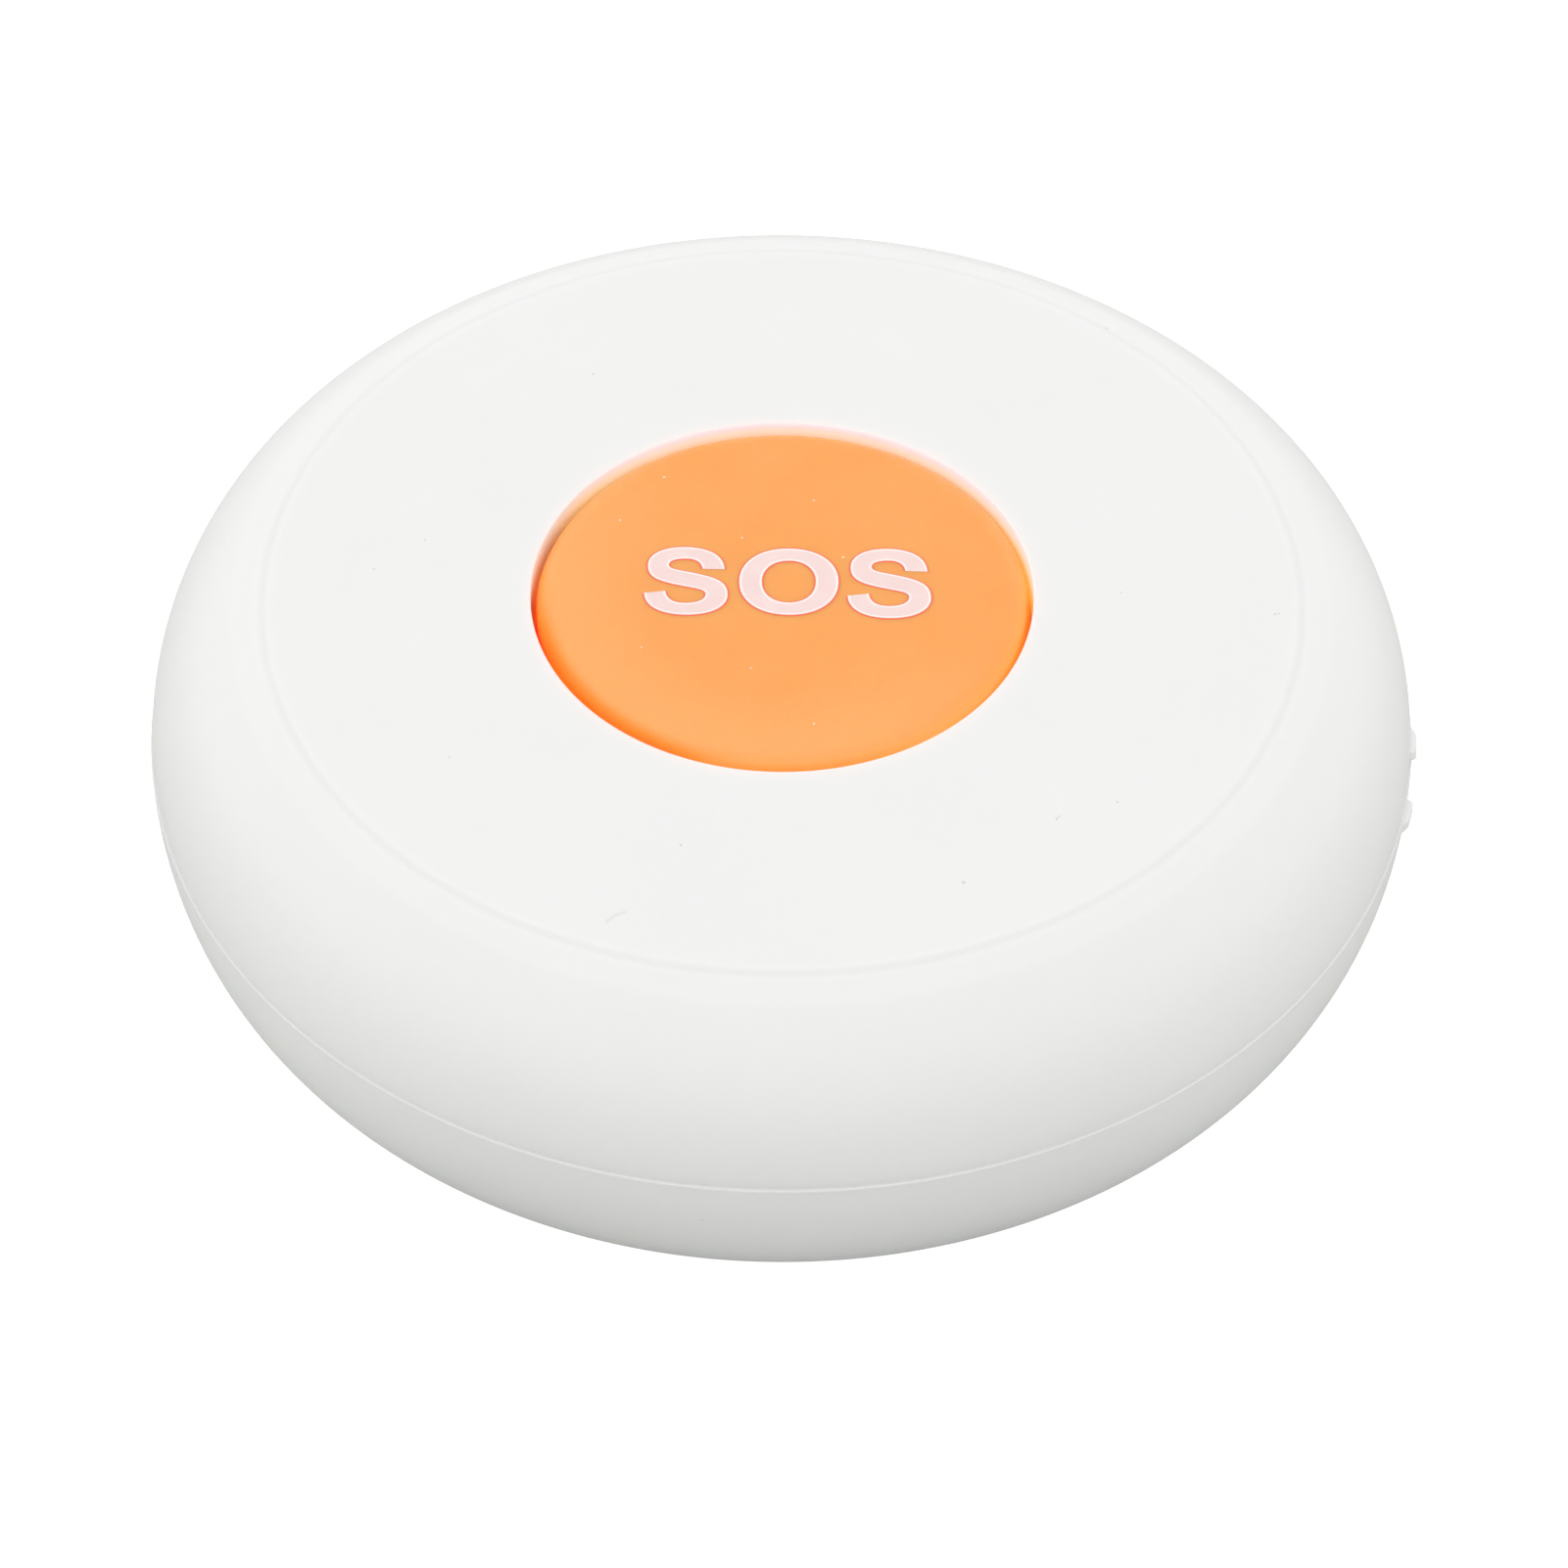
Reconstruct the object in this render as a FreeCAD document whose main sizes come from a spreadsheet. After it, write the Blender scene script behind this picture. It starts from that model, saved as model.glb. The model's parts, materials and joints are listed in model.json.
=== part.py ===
import FreeCAD, Part
import math
import os
import Sketcher

# Wireless panic button: a round moulded case of two shells with a wide push button in its top.
# The base stands on Z = 0 with its centre at the origin, +Z is up, and the button is read from -Y.

doc = FreeCAD.newDocument("PanicButton")
sheet = doc.addObject("Spreadsheet::Sheet", "Sizes")

# Driving dimensions, in millimetres and degrees.
sizes = {
    # Case
    "bodyRadius": 32.5,
    "baseDepth": 10.0,
    "domeRise": 9.0,
    "domeRun": 7.0,
    "baseRun": 5.8,
    "wall": 1.9,
    "roof": 2.0,
    "floorThick": 2.2,
    "seamStep": 0.1,
    "ringInset": 6.1,
    "ringWidth": 0.4,
    "ringDepth": 0.06,
    # Joint between the shells
    "tongueThick": 0.9,
    "tongueRise": 1.2,
    "tongueGap": 0.1,
    "gasketThick": 0.7,
    "gasketPlay": 0.1,
    # Marks that the moulding gates leave on the rim of each shell
    "gateWidth": 1.9,
    "gateRise": 0.6,
    "gateProud": 0.32,
    "gateRoot": 0.8,
    "gateLift": 0.25,
    "upperGateAngle": -3.9,
    "lowerGateAngle": -11.3,
    # Case screws, their towers in the base and the bosses above them
    "screwCircle": 23.3,
    "screwCount": 3,
    "screwShank": 1.1,
    "screwLength": 9.0,
    "screwHead": 2.3,
    "screwHeadRise": 1.5,
    "screwPlay": 0.3,
    "threadPlay": 0.03,
    "driveWidth": 0.6,
    "driveSpan": 2.4,
    "driveDepth": 0.8,
    "seatRise": 3.0,
    "towerWall": 0.8,
    "towerRise": 2.2,
    "bossWall": 1.7,
    "bossPlay": 0.1,
    # Button
    "boreRadius": 12.85,
    "boreEdge": 0.12,
    "boreGap": 0.28,
    "capSink": 0.1,
    "capRoof": 1.8,
    "capEdge": 1.2,
    "skirtThick": 1.3,
    "flangeReach": 1.1,
    "flangeThick": 1.1,
    "collarThick": 1.7,
    "collarDepth": 3.0,
    "sealThick": 0.5,
    "sealPlay": 0.05,
    "buttonTravel": 0.5,
    "postRadius": 1.6,
    "postPlay": 0.05,
    "postRibSpan": 8.4,
    "postRibGap": 0.8,
    "ribThick": 1.0,
    "cupThick": 0.8,
    "cupRise": 1.2,
    "keyCount": 3,
    "keyWidth": 2.4,
    "keyPlay": 0.2,
    # Ribs of the shells
    "roofRibRise": 2.2,
    "floorRibRise": 1.4,
    "floorRibCount": 6,
    "ribInset": 4.4,
    # Return spring
    "springWire": 0.5,
    "springRadius": 5.6,
    "springPitch": 1.45,
    "springPlay": 0.05,
    # Circuit board on its posts
    "boardRadius": 20.0,
    "boardThick": 1.2,
    "boardHoleInset": 2.5,
    "boardScrewCount": 3,
    "boardShank": 0.9,
    "boardScrewLength": 5.0,
    "boardHead": 1.7,
    "boardHeadRise": 1.2,
    "boardPostWall": 1.4,
    # Switch under the button
    "switchWidth": 6.0,
    "switchRise": 3.5,
    "switchCover": 0.3,
    "clipCount": 2,
    "switchCavity": 2.6,
    "domePressed": 0.9,
    "plungerRadius": 1.7,
    "plungerPlay": 0.05,
    "plungerFlange": 0.6,
    "plungerFlangeThick": 0.5,
    "plungerProud": 1.2,
    "domeThick": 0.1,
    "legThick": 0.25,
    "legWidth": 0.7,
    "legReach": 1.1,
    "legSpread": 2.25,
    # Coin cell in its cradle
    "cellRadius": 12.25,
    "cellThick": 4.8,
    "cellEdge": 0.5,
    "cellCapInset": 1.0,
    "cellCapRise": 0.25,
    "cellPlay": 0.1,
    "cradleInner": 14.9,
    "cradleThick": 1.2,
    "cradleRise": 5.2,
    "cradleRibCount": 4,
    "cradleRibTurn": 45.0,
    "stripThick": 0.25,
    "stripWidth": 5.0,
    "stripGap": 0.8,
    # Battery door
    "doorHole": 13.2,
    "doorPlay": 0.25,
    "doorReach": 2.2,
    "doorRecess": 1.2,
    "doorSink": 0.3,
    "doorTabThick": 0.8,
    "doorTabWidth": 4.0,
    "doorTabReach": 1.1,
    "doorTabPlay": 0.1,
    "doorTabCount": 3,
    "doorTurn": 25.0,
    "doorSealWire": 0.7,
    "coinSlotWidth": 1.8,
    "coinSlotLength": 17.0,
    "coinSlotDepth": 1.0,
    # Parts on the board
    "partGap": 0.02,
    "chipWidth": 4.0,
    "chipLength": 5.0,
    "chipRise": 1.5,
    "radioWidth": 5.0,
    "radioRise": 0.9,
    "crystalLength": 5.0,
    "crystalWidth": 3.2,
    "crystalRise": 1.3,
    "lampLength": 3.5,
    "lampWidth": 2.8,
    "lampRise": 1.0,
    "lampLens": 1.2,
    "smallLength": 2.0,
    "smallWidth": 1.25,
    "smallRise": 0.8,
    "smallPitch": 2.4,
    "smallCount": 4,
    "innerRing": 9.6,
    "outerRing": 16.9,
    "coilRadius": 1.8,
    "coilWire": 0.6,
    "coilPitch": 1.5,
    "coilTurns": 5,
    # Where they stand, as turns from +X
    "chipAngle": 90.0,
    "radioAngle": 210.0,
    "crystalAngle": 232.0,
    "lampAngle": 0.0,
    "capacitorAngle": 120.0,
    "resistorAngle": 180.0,
    "antennaAngle": -30.0,
}


def fillSheet():
    for row, (name, value) in enumerate(sizes.items(), start=1):
        sheet.set("A%d" % row, name)
        sheet.set("B%d" % row, str(value))
        sheet.setAlias("B%d" % row, name)
    doc.recompute()


class Size:
    """A length with its value and the expression that binds it to the spreadsheet."""

    def __init__(self, value, text):
        self.value = value
        self.text = text

    def joined(self, other, sign, value):
        other = other if isinstance(other, Size) else Size(other, repr(other))
        return Size(value(self.value, other.value), "(%s %s %s)" % (self.text, sign, other.text))

    def __add__(self, other):
        return self.joined(other, "+", lambda a, b: a + b)

    def __sub__(self, other):
        return self.joined(other, "-", lambda a, b: a - b)

    def __mul__(self, other):
        return self.joined(other, "*", lambda a, b: a * b)

    def __truediv__(self, other):
        return self.joined(other, "/", lambda a, b: a / b)

    def __neg__(self):
        return Size(-self.value, "(0 - %s)" % self.text)


class Corner:
    """A corner of an outline; holds says which of its coordinates a dimension fixes."""

    def __init__(self, x, y, holds="xy"):
        self.x = x
        self.y = y
        self.holds = holds

    def vector(self):
        return FreeCAD.Vector(self.x.value, self.y.value, 0)


class EllipseArc:
    """A stretch of an ellipse between two corners, with its centre and its two half axes."""

    def __init__(self, centreX, centreY, across, upward):
        self.centreX = centreX
        self.centreY = centreY
        self.across = across
        self.upward = upward

    def yAt(self, x, side):
        """Height of the curve at x, above the centre for side 1 and below it for side -1."""
        share = (x.value - self.centreX.value) / self.across.value
        return Size(self.centreY.value + side * self.upward.value * math.sqrt(1 - share * share), "0")

    def xAt(self, y):
        """Reach of the curve at height y, on its outer side."""
        share = (y.value - self.centreY.value) / self.upward.value
        return Size(self.centreX.value + self.across.value * math.sqrt(1 - share * share), "0")


def size(name):
    return Size(float(sheet.get(name)), "Sizes." + name)


def bind(item, path, length):
    item.setExpression(path, length.text)


def newBody(label):
    body = doc.addObject("PartDesign::Body", label)
    body.Label = label
    return body


def sketchOn(body, role, name, lift=None, turn=None):
    """A sketch on one of the body's own origin planes, lifted off it and turned in it if asked."""
    plane = [item for item in body.Origin.OriginFeatures if item.Role == role][0]
    sketch = body.newObject("Sketcher::SketchObject", name)
    sketch.AttachmentSupport = [(plane, "")]
    sketch.MapMode = "FlatFace"
    if turn is not None:
        sketch.AttachmentOffset = FreeCAD.Placement(
            FreeCAD.Vector(0, 0, 0), FreeCAD.Rotation(FreeCAD.Vector(0, 0, 1), turn.value))
        bind(sketch, "AttachmentOffset.Rotation.Angle", turn)
    if lift is not None:
        bind(sketch, "AttachmentOffset.Base.z", lift)
    return sketch


def hold(sketch, kind, parts, length):
    """Adds one dimension and binds it to the spreadsheet."""
    index = sketch.addConstraint(Sketcher.Constraint(kind, *parts, length.value))
    name = "%s%d" % (kind, index)
    sketch.renameConstraint(index, name)
    bind(sketch, "Constraints." + name, length)


def holdPoint(sketch, geometry, point, corner):
    """Fixes a point against the sketch's origin; a zero is a point on the axis."""
    if "x" in corner.holds:
        if corner.x.value == 0:
            sketch.addConstraint(Sketcher.Constraint("PointOnObject", geometry, point, -2))
        else:
            hold(sketch, "DistanceX", (-1, 1, geometry, point), corner.x)
    if "y" in corner.holds:
        if corner.y.value == 0:
            sketch.addConstraint(Sketcher.Constraint("PointOnObject", geometry, point, -1))
        else:
            hold(sketch, "DistanceY", (-1, 1, geometry, point), corner.y)


def addEllipseArc(sketch, arc, start, end):
    """Adds the arc with its axes, and returns its index and which end is which."""
    tall = arc.upward.value > arc.across.value
    longAxis, shortAxis = (arc.upward, arc.across) if tall else (arc.across, arc.upward)
    centre = Corner(arc.centreX, arc.centreY)
    ellipse = Part.Ellipse(centre.vector(), longAxis.value, shortAxis.value)
    ellipse.XAxis = FreeCAD.Vector(0, 1, 0) if tall else FreeCAD.Vector(1, 0, 0)
    first = ellipse.parameter(start.vector())
    last = ellipse.parameter(end.vector())
    forward = (last - first) % (2 * math.pi) < math.pi
    ends = (first, last) if forward else (last, first)
    index = sketch.addGeometry(Part.ArcOfEllipse(ellipse, *ends), False)
    sketch.exposeInternalGeometry(index)
    longLine, shortLine = index + 1, index + 2
    holdPoint(sketch, index, 3, centre)
    sketch.addConstraint(Sketcher.Constraint("Vertical" if tall else "Horizontal", longLine))
    hold(sketch, "Distance", (longLine,), longAxis * 2)
    hold(sketch, "Distance", (shortLine,), shortAxis * 2)
    return (index, 1, 2) if forward else (index, 2, 1)


def outline(sketch, path):
    """Draws a closed outline of corners, with a straight edge or an ellipse arc between each two."""
    corners = [item for item in path if isinstance(item, Corner)]
    edges = []
    for number, corner in enumerate(corners):
        following = corners[(number + 1) % len(corners)]
        place = path.index(corner) + 1
        between = path[place] if place < len(path) else None
        if isinstance(between, EllipseArc):
            edges.append(addEllipseArc(sketch, between, corner, following))
        else:
            line = Part.LineSegment(corner.vector(), following.vector())
            edges.append((sketch.addGeometry(line, False), 1, 2))
    for number, (index, start, end) in enumerate(edges):
        nextIndex, nextStart, nextEnd = edges[(number + 1) % len(edges)]
        sketch.addConstraint(Sketcher.Constraint("Coincident", index, end, nextIndex, nextStart))
    for corner, (index, start, end) in zip(corners, edges):
        holdPoint(sketch, index, start, corner)


def rectangle(sketch, left, right, bottom, top):
    outline(sketch, [Corner(left, bottom), Corner(right, bottom), Corner(right, top), Corner(left, top)])


def circle(sketch, x, y, radius):
    centre = Corner(x, y)
    index = sketch.addGeometry(Part.Circle(centre.vector(), FreeCAD.Vector(0, 0, 1), radius.value), False)
    holdPoint(sketch, index, 3, centre)
    hold(sketch, "Radius", (index,), radius)


def finishFeature(body, feature, sketch, grows):
    """Recomputes a feature and stops if it failed or changed nothing in the body."""
    before = body.Tip.Shape.Volume if body.Tip is not feature and body.Tip else 0
    body.Tip = feature
    doc.recompute()
    change = feature.Shape.Volume - before
    if "Invalid" in feature.State or (change <= 0 if grows else change >= 0):
        raise RuntimeError("%s of %s changed nothing" % (feature.Label, body.Label))
    if sketch is not None:
        sketch.Visibility = False
    return feature


def revolve(body, sketch):
    feature = body.newObject("PartDesign::Revolution", "Revolution")
    feature.Profile = sketch
    feature.ReferenceAxis = (sketch, ["V_Axis"])
    feature.Angle = 360
    body.Tip = None
    return finishFeature(body, feature, sketch, True)


def groove(body, sketch):
    tip = body.Tip
    feature = body.newObject("PartDesign::Groove", "Groove")
    feature.Profile = sketch
    feature.ReferenceAxis = (sketch, ["V_Axis"])
    feature.Angle = 360
    body.Tip = tip
    return finishFeature(body, feature, sketch, False)


def pad(body, sketch, length, midplane=False):
    tip = body.Tip
    feature = body.newObject("PartDesign::Pad", "Pad")
    feature.Profile = sketch
    feature.Length = length.value
    bind(feature, "Length", length)
    feature.Midplane = midplane
    body.Tip = tip
    return finishFeature(body, feature, sketch, True)


def pocket(body, sketch, depth, upward):
    tip = body.Tip
    feature = body.newObject("PartDesign::Pocket", "Pocket")
    feature.Profile = sketch
    feature.Length = depth.value
    bind(feature, "Length", depth)
    feature.Reversed = upward
    body.Tip = tip
    return finishFeature(body, feature, sketch, False)


def around(body, features, count, grows):
    """Repeats features evenly about the vertical axis."""
    tip = body.Tip
    axis = [item for item in body.Origin.OriginFeatures if item.Role == "Z_Axis"][0]
    pattern = body.newObject("PartDesign::PolarPattern", "PolarPattern")
    pattern.Originals = features
    pattern.Axis = (axis, [""])
    pattern.Angle = 360
    pattern.Occurrences = int(count.value)
    bind(pattern, "Occurrences", count)
    body.Tip = tip
    return finishFeature(body, pattern, None, grows)


def fillet(body, edges, radius):
    """Rounds the named edges of the body's last feature."""
    tip = body.Tip
    feature = body.newObject("PartDesign::Fillet", "Fillet")
    feature.Base = (tip, edges)
    feature.Radius = radius.value
    bind(feature, "Radius", radius)
    body.Tip = feature
    doc.recompute()
    return feature


def roundEdges(shape, radius, height):
    """Names of the full circles of one radius at one height."""
    names = []
    for number, edge in enumerate(shape.Edges, start=1):
        curve = edge.Curve
        if isinstance(curve, Part.Circle) and abs(curve.Radius - radius.value) < 0.01:
            if abs(curve.Center.z - height.value) < 0.01:
                names.append("Edge%d" % number)
    return names


fillSheet()

# Heights and radii that several pieces share.
zero = Size(0, "0")
top = size("baseDepth") + size("domeRise")
roofUnder = top - size("roof")
floorTop = size("floorThick")
tongueInner = size("bodyRadius") - size("wall")
tongueOuter = tongueInner + size("tongueThick")
tongueTop = size("baseDepth") + size("tongueRise")
rabbetRadius = tongueOuter + size("tongueGap")
rabbetTop = tongueTop + size("gasketThick")
ringRadius = size("bodyRadius") - size("ringInset")
collarOuter = size("boreRadius") + size("collarThick")
collarBottom = roofUnder - size("collarDepth")
capRadius = size("boreRadius") - size("boreGap")
capTop = top - size("capSink")
capUnder = capTop - size("capRoof")
skirtInner = capRadius - size("skirtThick")
flangeRadius = capRadius + size("flangeReach")
flangeTop = collarBottom - size("sealPlay") - size("sealThick")
flangeBottom = flangeTop - size("flangeThick")
headHole = size("screwHead") + size("screwPlay")
towerRadius = headHole + size("towerWall")
towerTop = size("seatRise") + size("towerRise")
bossRadius = size("screwShank") + size("bossWall")
bossBottom = towerTop + size("bossPlay")
doorTop = floorTop + size("doorTabPlay") + size("doorTabThick")
cellBottom = doorTop + size("cellPlay")
cellTop = cellBottom + size("cellThick")
boardBottom = cellTop + size("stripGap")
boardTop = boardBottom + size("boardThick")
boardPostRadius = size("boardShank") + size("boardPostWall")
boardCircle = size("boardRadius") - size("boardHoleInset")
cradleOuter = size("cradleInner") + size("cradleThick")
cradleTop = floorTop + size("cradleRise")
doorRadius = size("doorHole") + size("doorReach")
plugRadius = size("doorHole") - size("doorPlay")
plungerHole = size("plungerRadius") + size("plungerPlay")
switchTop = boardTop + size("switchRise")
coverTop = switchTop + size("switchCover")
plungerTop = coverTop + size("plungerProud")
# The switch's cavity holds the plunger's flange, its travel and the dome pressed flat.
cavityDepth = (size("plungerFlangeThick") + size("plungerPlay") * 2 + size("buttonTravel")
               + size("domePressed"))


def gateTab(body, rim, angle, lowest, side):
    """A small tab proud of the rim, where the melt entered the mould; it tapers towards one side."""
    half = size("gateWidth") / 2 * side
    proud = size("gateProud")
    sketch = sketchOn(body, "XY_Plane", "GateTab", lift=lowest, turn=angle)
    outline(sketch, [
        Corner(rim - size("gateRoot"), -half),
        Corner(rim + proud * 0.2, -half),
        Corner(rim + proud, -half * 0.8),
        Corner(rim + proud * 0.9, half * 0.4),
        Corner(rim, half),
        Corner(rim - size("gateRoot"), half),
    ])
    pad(body, sketch, size("gateRise"))


def makeUpperShell():
    body = newBody("upper_shell")
    rim = size("bodyRadius") - size("seamStep")
    centreX = rim - size("domeRun")
    outside = EllipseArc(centreX, size("baseDepth"), size("domeRun"), size("domeRise"))
    inside = EllipseArc(centreX, size("baseDepth"), size("domeRun") - size("wall"),
                        size("domeRise") - size("roof"))
    # The section: a flat panel out to the ring, an elliptical shoulder, a rabbet at the seam, and the
    # collar that guides the button.
    section = sketchOn(body, "XZ_Plane", "Section")
    outline(section, [
        Corner(size("boreRadius"), top),
        Corner(ringRadius, top),
        Corner(ringRadius, outside.yAt(ringRadius, 1), "x"),
        outside,
        Corner(rim, size("baseDepth"), "y"),
        Corner(rabbetRadius, size("baseDepth")),
        Corner(rabbetRadius, rabbetTop),
        Corner(inside.xAt(rabbetTop), rabbetTop, "y"),
        inside,
        Corner(centreX, roofUnder, "x"),
        Corner(collarOuter, roofUnder),
        Corner(collarOuter, collarBottom),
        Corner(size("boreRadius"), collarBottom),
    ])
    revolve(body, section)
    fillet(body, roundEdges(body.Tip.Shape, size("boreRadius"), top), size("boreEdge"))
    # A shallow channel runs round the edge of the flat panel.
    channel = sketchOn(body, "XZ_Plane", "Channel")
    outline(channel, [
        Corner(ringRadius - size("ringWidth") / 2, top + size("ringDepth")),
        Corner(ringRadius - size("ringWidth") / 2, top),
        Corner(ringRadius - size("ringWidth") / 6, top - size("ringDepth")),
        Corner(ringRadius + size("ringWidth") / 6, top - size("ringDepth") * 1.3),
        Corner(ringRadius + size("ringWidth"), top + size("ringDepth")),
    ])
    groove(body, channel)
    # Screw bosses hang from the roof, each tied to the collar by a rib.
    boss = sketchOn(body, "XY_Plane", "Boss", lift=bossBottom)
    circle(boss, zero, size("screwCircle"), bossRadius)
    bossPad = pad(body, boss, roofUnder - bossBottom + size("roof") / 4)
    rib = sketchOn(body, "XY_Plane", "BossRib", lift=roofUnder - size("roofRibRise"))
    ribSide = size("ribThick") / 2
    rectangle(rib, -ribSide, ribSide, collarOuter - size("ribThick") / 2, size("screwCircle"))
    ribPad = pad(body, rib, size("roofRibRise") + size("roof") / 4)
    around(body, [bossPad, ribPad], size("screwCount"), True)
    # Plain ribs between them run out to the shoulder.
    plain = sketchOn(body, "XY_Plane", "PlainRib", lift=roofUnder - size("roofRibRise"))
    rectangle(plain, -ribSide, ribSide, -(rim - size("ribInset")), -(collarOuter - size("ribThick") / 2))
    plainPad = pad(body, plain, size("roofRibRise") + size("roof") / 8)
    around(body, [plainPad], size("screwCount"), True)
    # Keys under the collar stop the button from turning.
    keyDrop = collarBottom - flangeBottom
    key = sketchOn(body, "XY_Plane", "Key", lift=flangeBottom)
    keySide = size("keyWidth") / 2
    rectangle(key, -keySide, keySide, size("boreRadius") + size("keyPlay"), collarOuter - size("keyPlay"))
    keyPad = pad(body, key, keyDrop + size("collarDepth") / 2)
    around(body, [keyPad], size("keyCount"), True)
    # Pilot holes for the case screws.
    pilot = sketchOn(body, "XY_Plane", "Pilot", lift=bossBottom)
    circle(pilot, zero, size("screwCircle"), size("screwShank") + size("threadPlay"))
    screwReach = size("screwLength") - (bossBottom - size("seatRise"))
    pilotPocket = pocket(body, pilot, screwReach + size("screwPlay"), True)
    around(body, [pilotPocket], size("screwCount"), False)
    gateTab(body, rim, size("upperGateAngle"), size("baseDepth") + size("gateLift"), 1)
    return body


def makeLowerShell():
    body = newBody("lower_shell")
    rim = size("bodyRadius")
    centreX = rim - size("baseRun")
    outside = EllipseArc(centreX, size("baseDepth"), size("baseRun"), size("baseDepth"))
    inside = EllipseArc(centreX, size("baseDepth"), size("baseRun") - size("wall"),
                        size("baseDepth") - size("floorThick"))
    # The section: a stepped hole for the door, a flat foot, an elliptical side, the tongue of the seam
    # and the wall of the coin cell's cradle.
    section = sketchOn(body, "XZ_Plane", "Section")
    outline(section, [
        Corner(size("doorHole"), size("doorRecess")),
        Corner(doorRadius, size("doorRecess")),
        Corner(doorRadius, zero),
        Corner(centreX, zero, "x"),
        outside,
        Corner(rim, size("baseDepth"), "y"),
        Corner(tongueOuter, size("baseDepth")),
        Corner(tongueOuter, tongueTop),
        Corner(tongueInner, tongueTop),
        Corner(tongueInner, size("baseDepth"), "y"),
        inside,
        Corner(centreX, floorTop, "x"),
        Corner(cradleOuter, floorTop),
        Corner(cradleOuter, cradleTop),
        Corner(size("cradleInner"), cradleTop),
        Corner(size("cradleInner"), floorTop),
        Corner(size("doorHole"), floorTop),
    ])
    revolve(body, section)
    # Screw towers, opposite the bosses of the upper shell.
    tower = sketchOn(body, "XY_Plane", "Tower", lift=floorTop / 2)
    circle(tower, zero, size("screwCircle"), towerRadius)
    around(body, [pad(body, tower, towerTop - floorTop / 2)], size("screwCount"), True)
    # Posts that carry the circuit board.
    post = sketchOn(body, "XY_Plane", "BoardPost", lift=floorTop / 2)
    circle(post, zero, -boardCircle, boardPostRadius)
    around(body, [pad(body, post, boardBottom - floorTop / 2)], size("boardScrewCount"), True)
    # Floor ribs from the cradle to the side wall.
    rib = sketchOn(body, "XY_Plane", "FloorRib", lift=floorTop / 2)
    ribSide = size("ribThick") / 2
    rectangle(rib, cradleOuter - ribSide, rim - size("ribInset"), -ribSide, ribSide)
    around(body, [pad(body, rib, floorTop / 2 + size("floorRibRise"))], size("floorRibCount"), True)
    # Ribs that centre the coin cell, above the sweep of the door's tabs.
    centring = sketchOn(body, "XY_Plane", "CellRib", lift=doorTop + size("cellPlay"),
                        turn=size("cradleRibTurn"))
    rectangle(centring, size("cellRadius") + size("cellPlay"), size("cradleInner") + ribSide,
              -ribSide, ribSide)
    around(body, [pad(body, centring, cradleTop - doorTop - size("cellPlay"))], size("cradleRibCount"),
           True)
    # Stops that end the door's turn in the locked place.
    tabSide = size("doorTabWidth") / 2
    stop = sketchOn(body, "XY_Plane", "DoorStop", lift=floorTop / 2)
    rectangle(stop, size("doorHole") + size("doorPlay"), size("cradleInner") + ribSide,
              tabSide + size("doorPlay"), tabSide + size("doorPlay") + size("ribThick"))
    around(body, [pad(body, stop, doorTop - floorTop / 2)], size("doorTabCount"), True)
    # Gaps in the ledge where the door's tabs enter, a turn away from the locked place.
    entry = sketchOn(body, "XY_Plane", "DoorEntry", lift=floorTop, turn=-size("doorTurn"))
    rectangle(entry, size("doorHole") - size("doorTabReach"),
              size("doorHole") + size("doorTabReach") + size("doorPlay"),
              -tabSide - size("doorPlay"), tabSide + size("doorPlay"))
    around(body, [pocket(body, entry, floorTop - size("doorRecess"), False)], size("doorTabCount"), False)
    # A window in the cradle for the contact that presses on the cell's rim.
    window = sketchOn(body, "XY_Plane", "ContactWindow", lift=doorTop + size("cellPlay"))
    windowSide = size("stripWidth") / 2 + size("cellPlay") * 3
    rectangle(window, -cradleOuter - ribSide, -size("cradleInner") + ribSide, -windowSide, windowSide)
    pocket(body, window, cradleTop - doorTop, True)
    # Screw holes: a wide bore up to the seat, and a clearance hole through the tower.
    bore = sketchOn(body, "XY_Plane", "HeadBore")
    circle(bore, zero, size("screwCircle"), headHole)
    around(body, [pocket(body, bore, size("seatRise"), True)], size("screwCount"), False)
    hole = sketchOn(body, "XY_Plane", "ShankHole", lift=size("seatRise"))
    circle(hole, zero, size("screwCircle"), size("screwShank") + size("screwPlay"))
    around(body, [pocket(body, hole, size("towerRise"), True)], size("screwCount"), False)
    pilot = sketchOn(body, "XY_Plane", "BoardPilot", lift=boardBottom)
    circle(pilot, zero, -boardCircle, size("boardShank") + size("threadPlay"))
    around(body, [pocket(body, pilot, size("boardScrewLength"), False)], size("boardScrewCount"), False)
    gateTab(body, rim, size("lowerGateAngle"), size("baseDepth") - size("gateLift") - size("gateRise"), -1)
    return body


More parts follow.
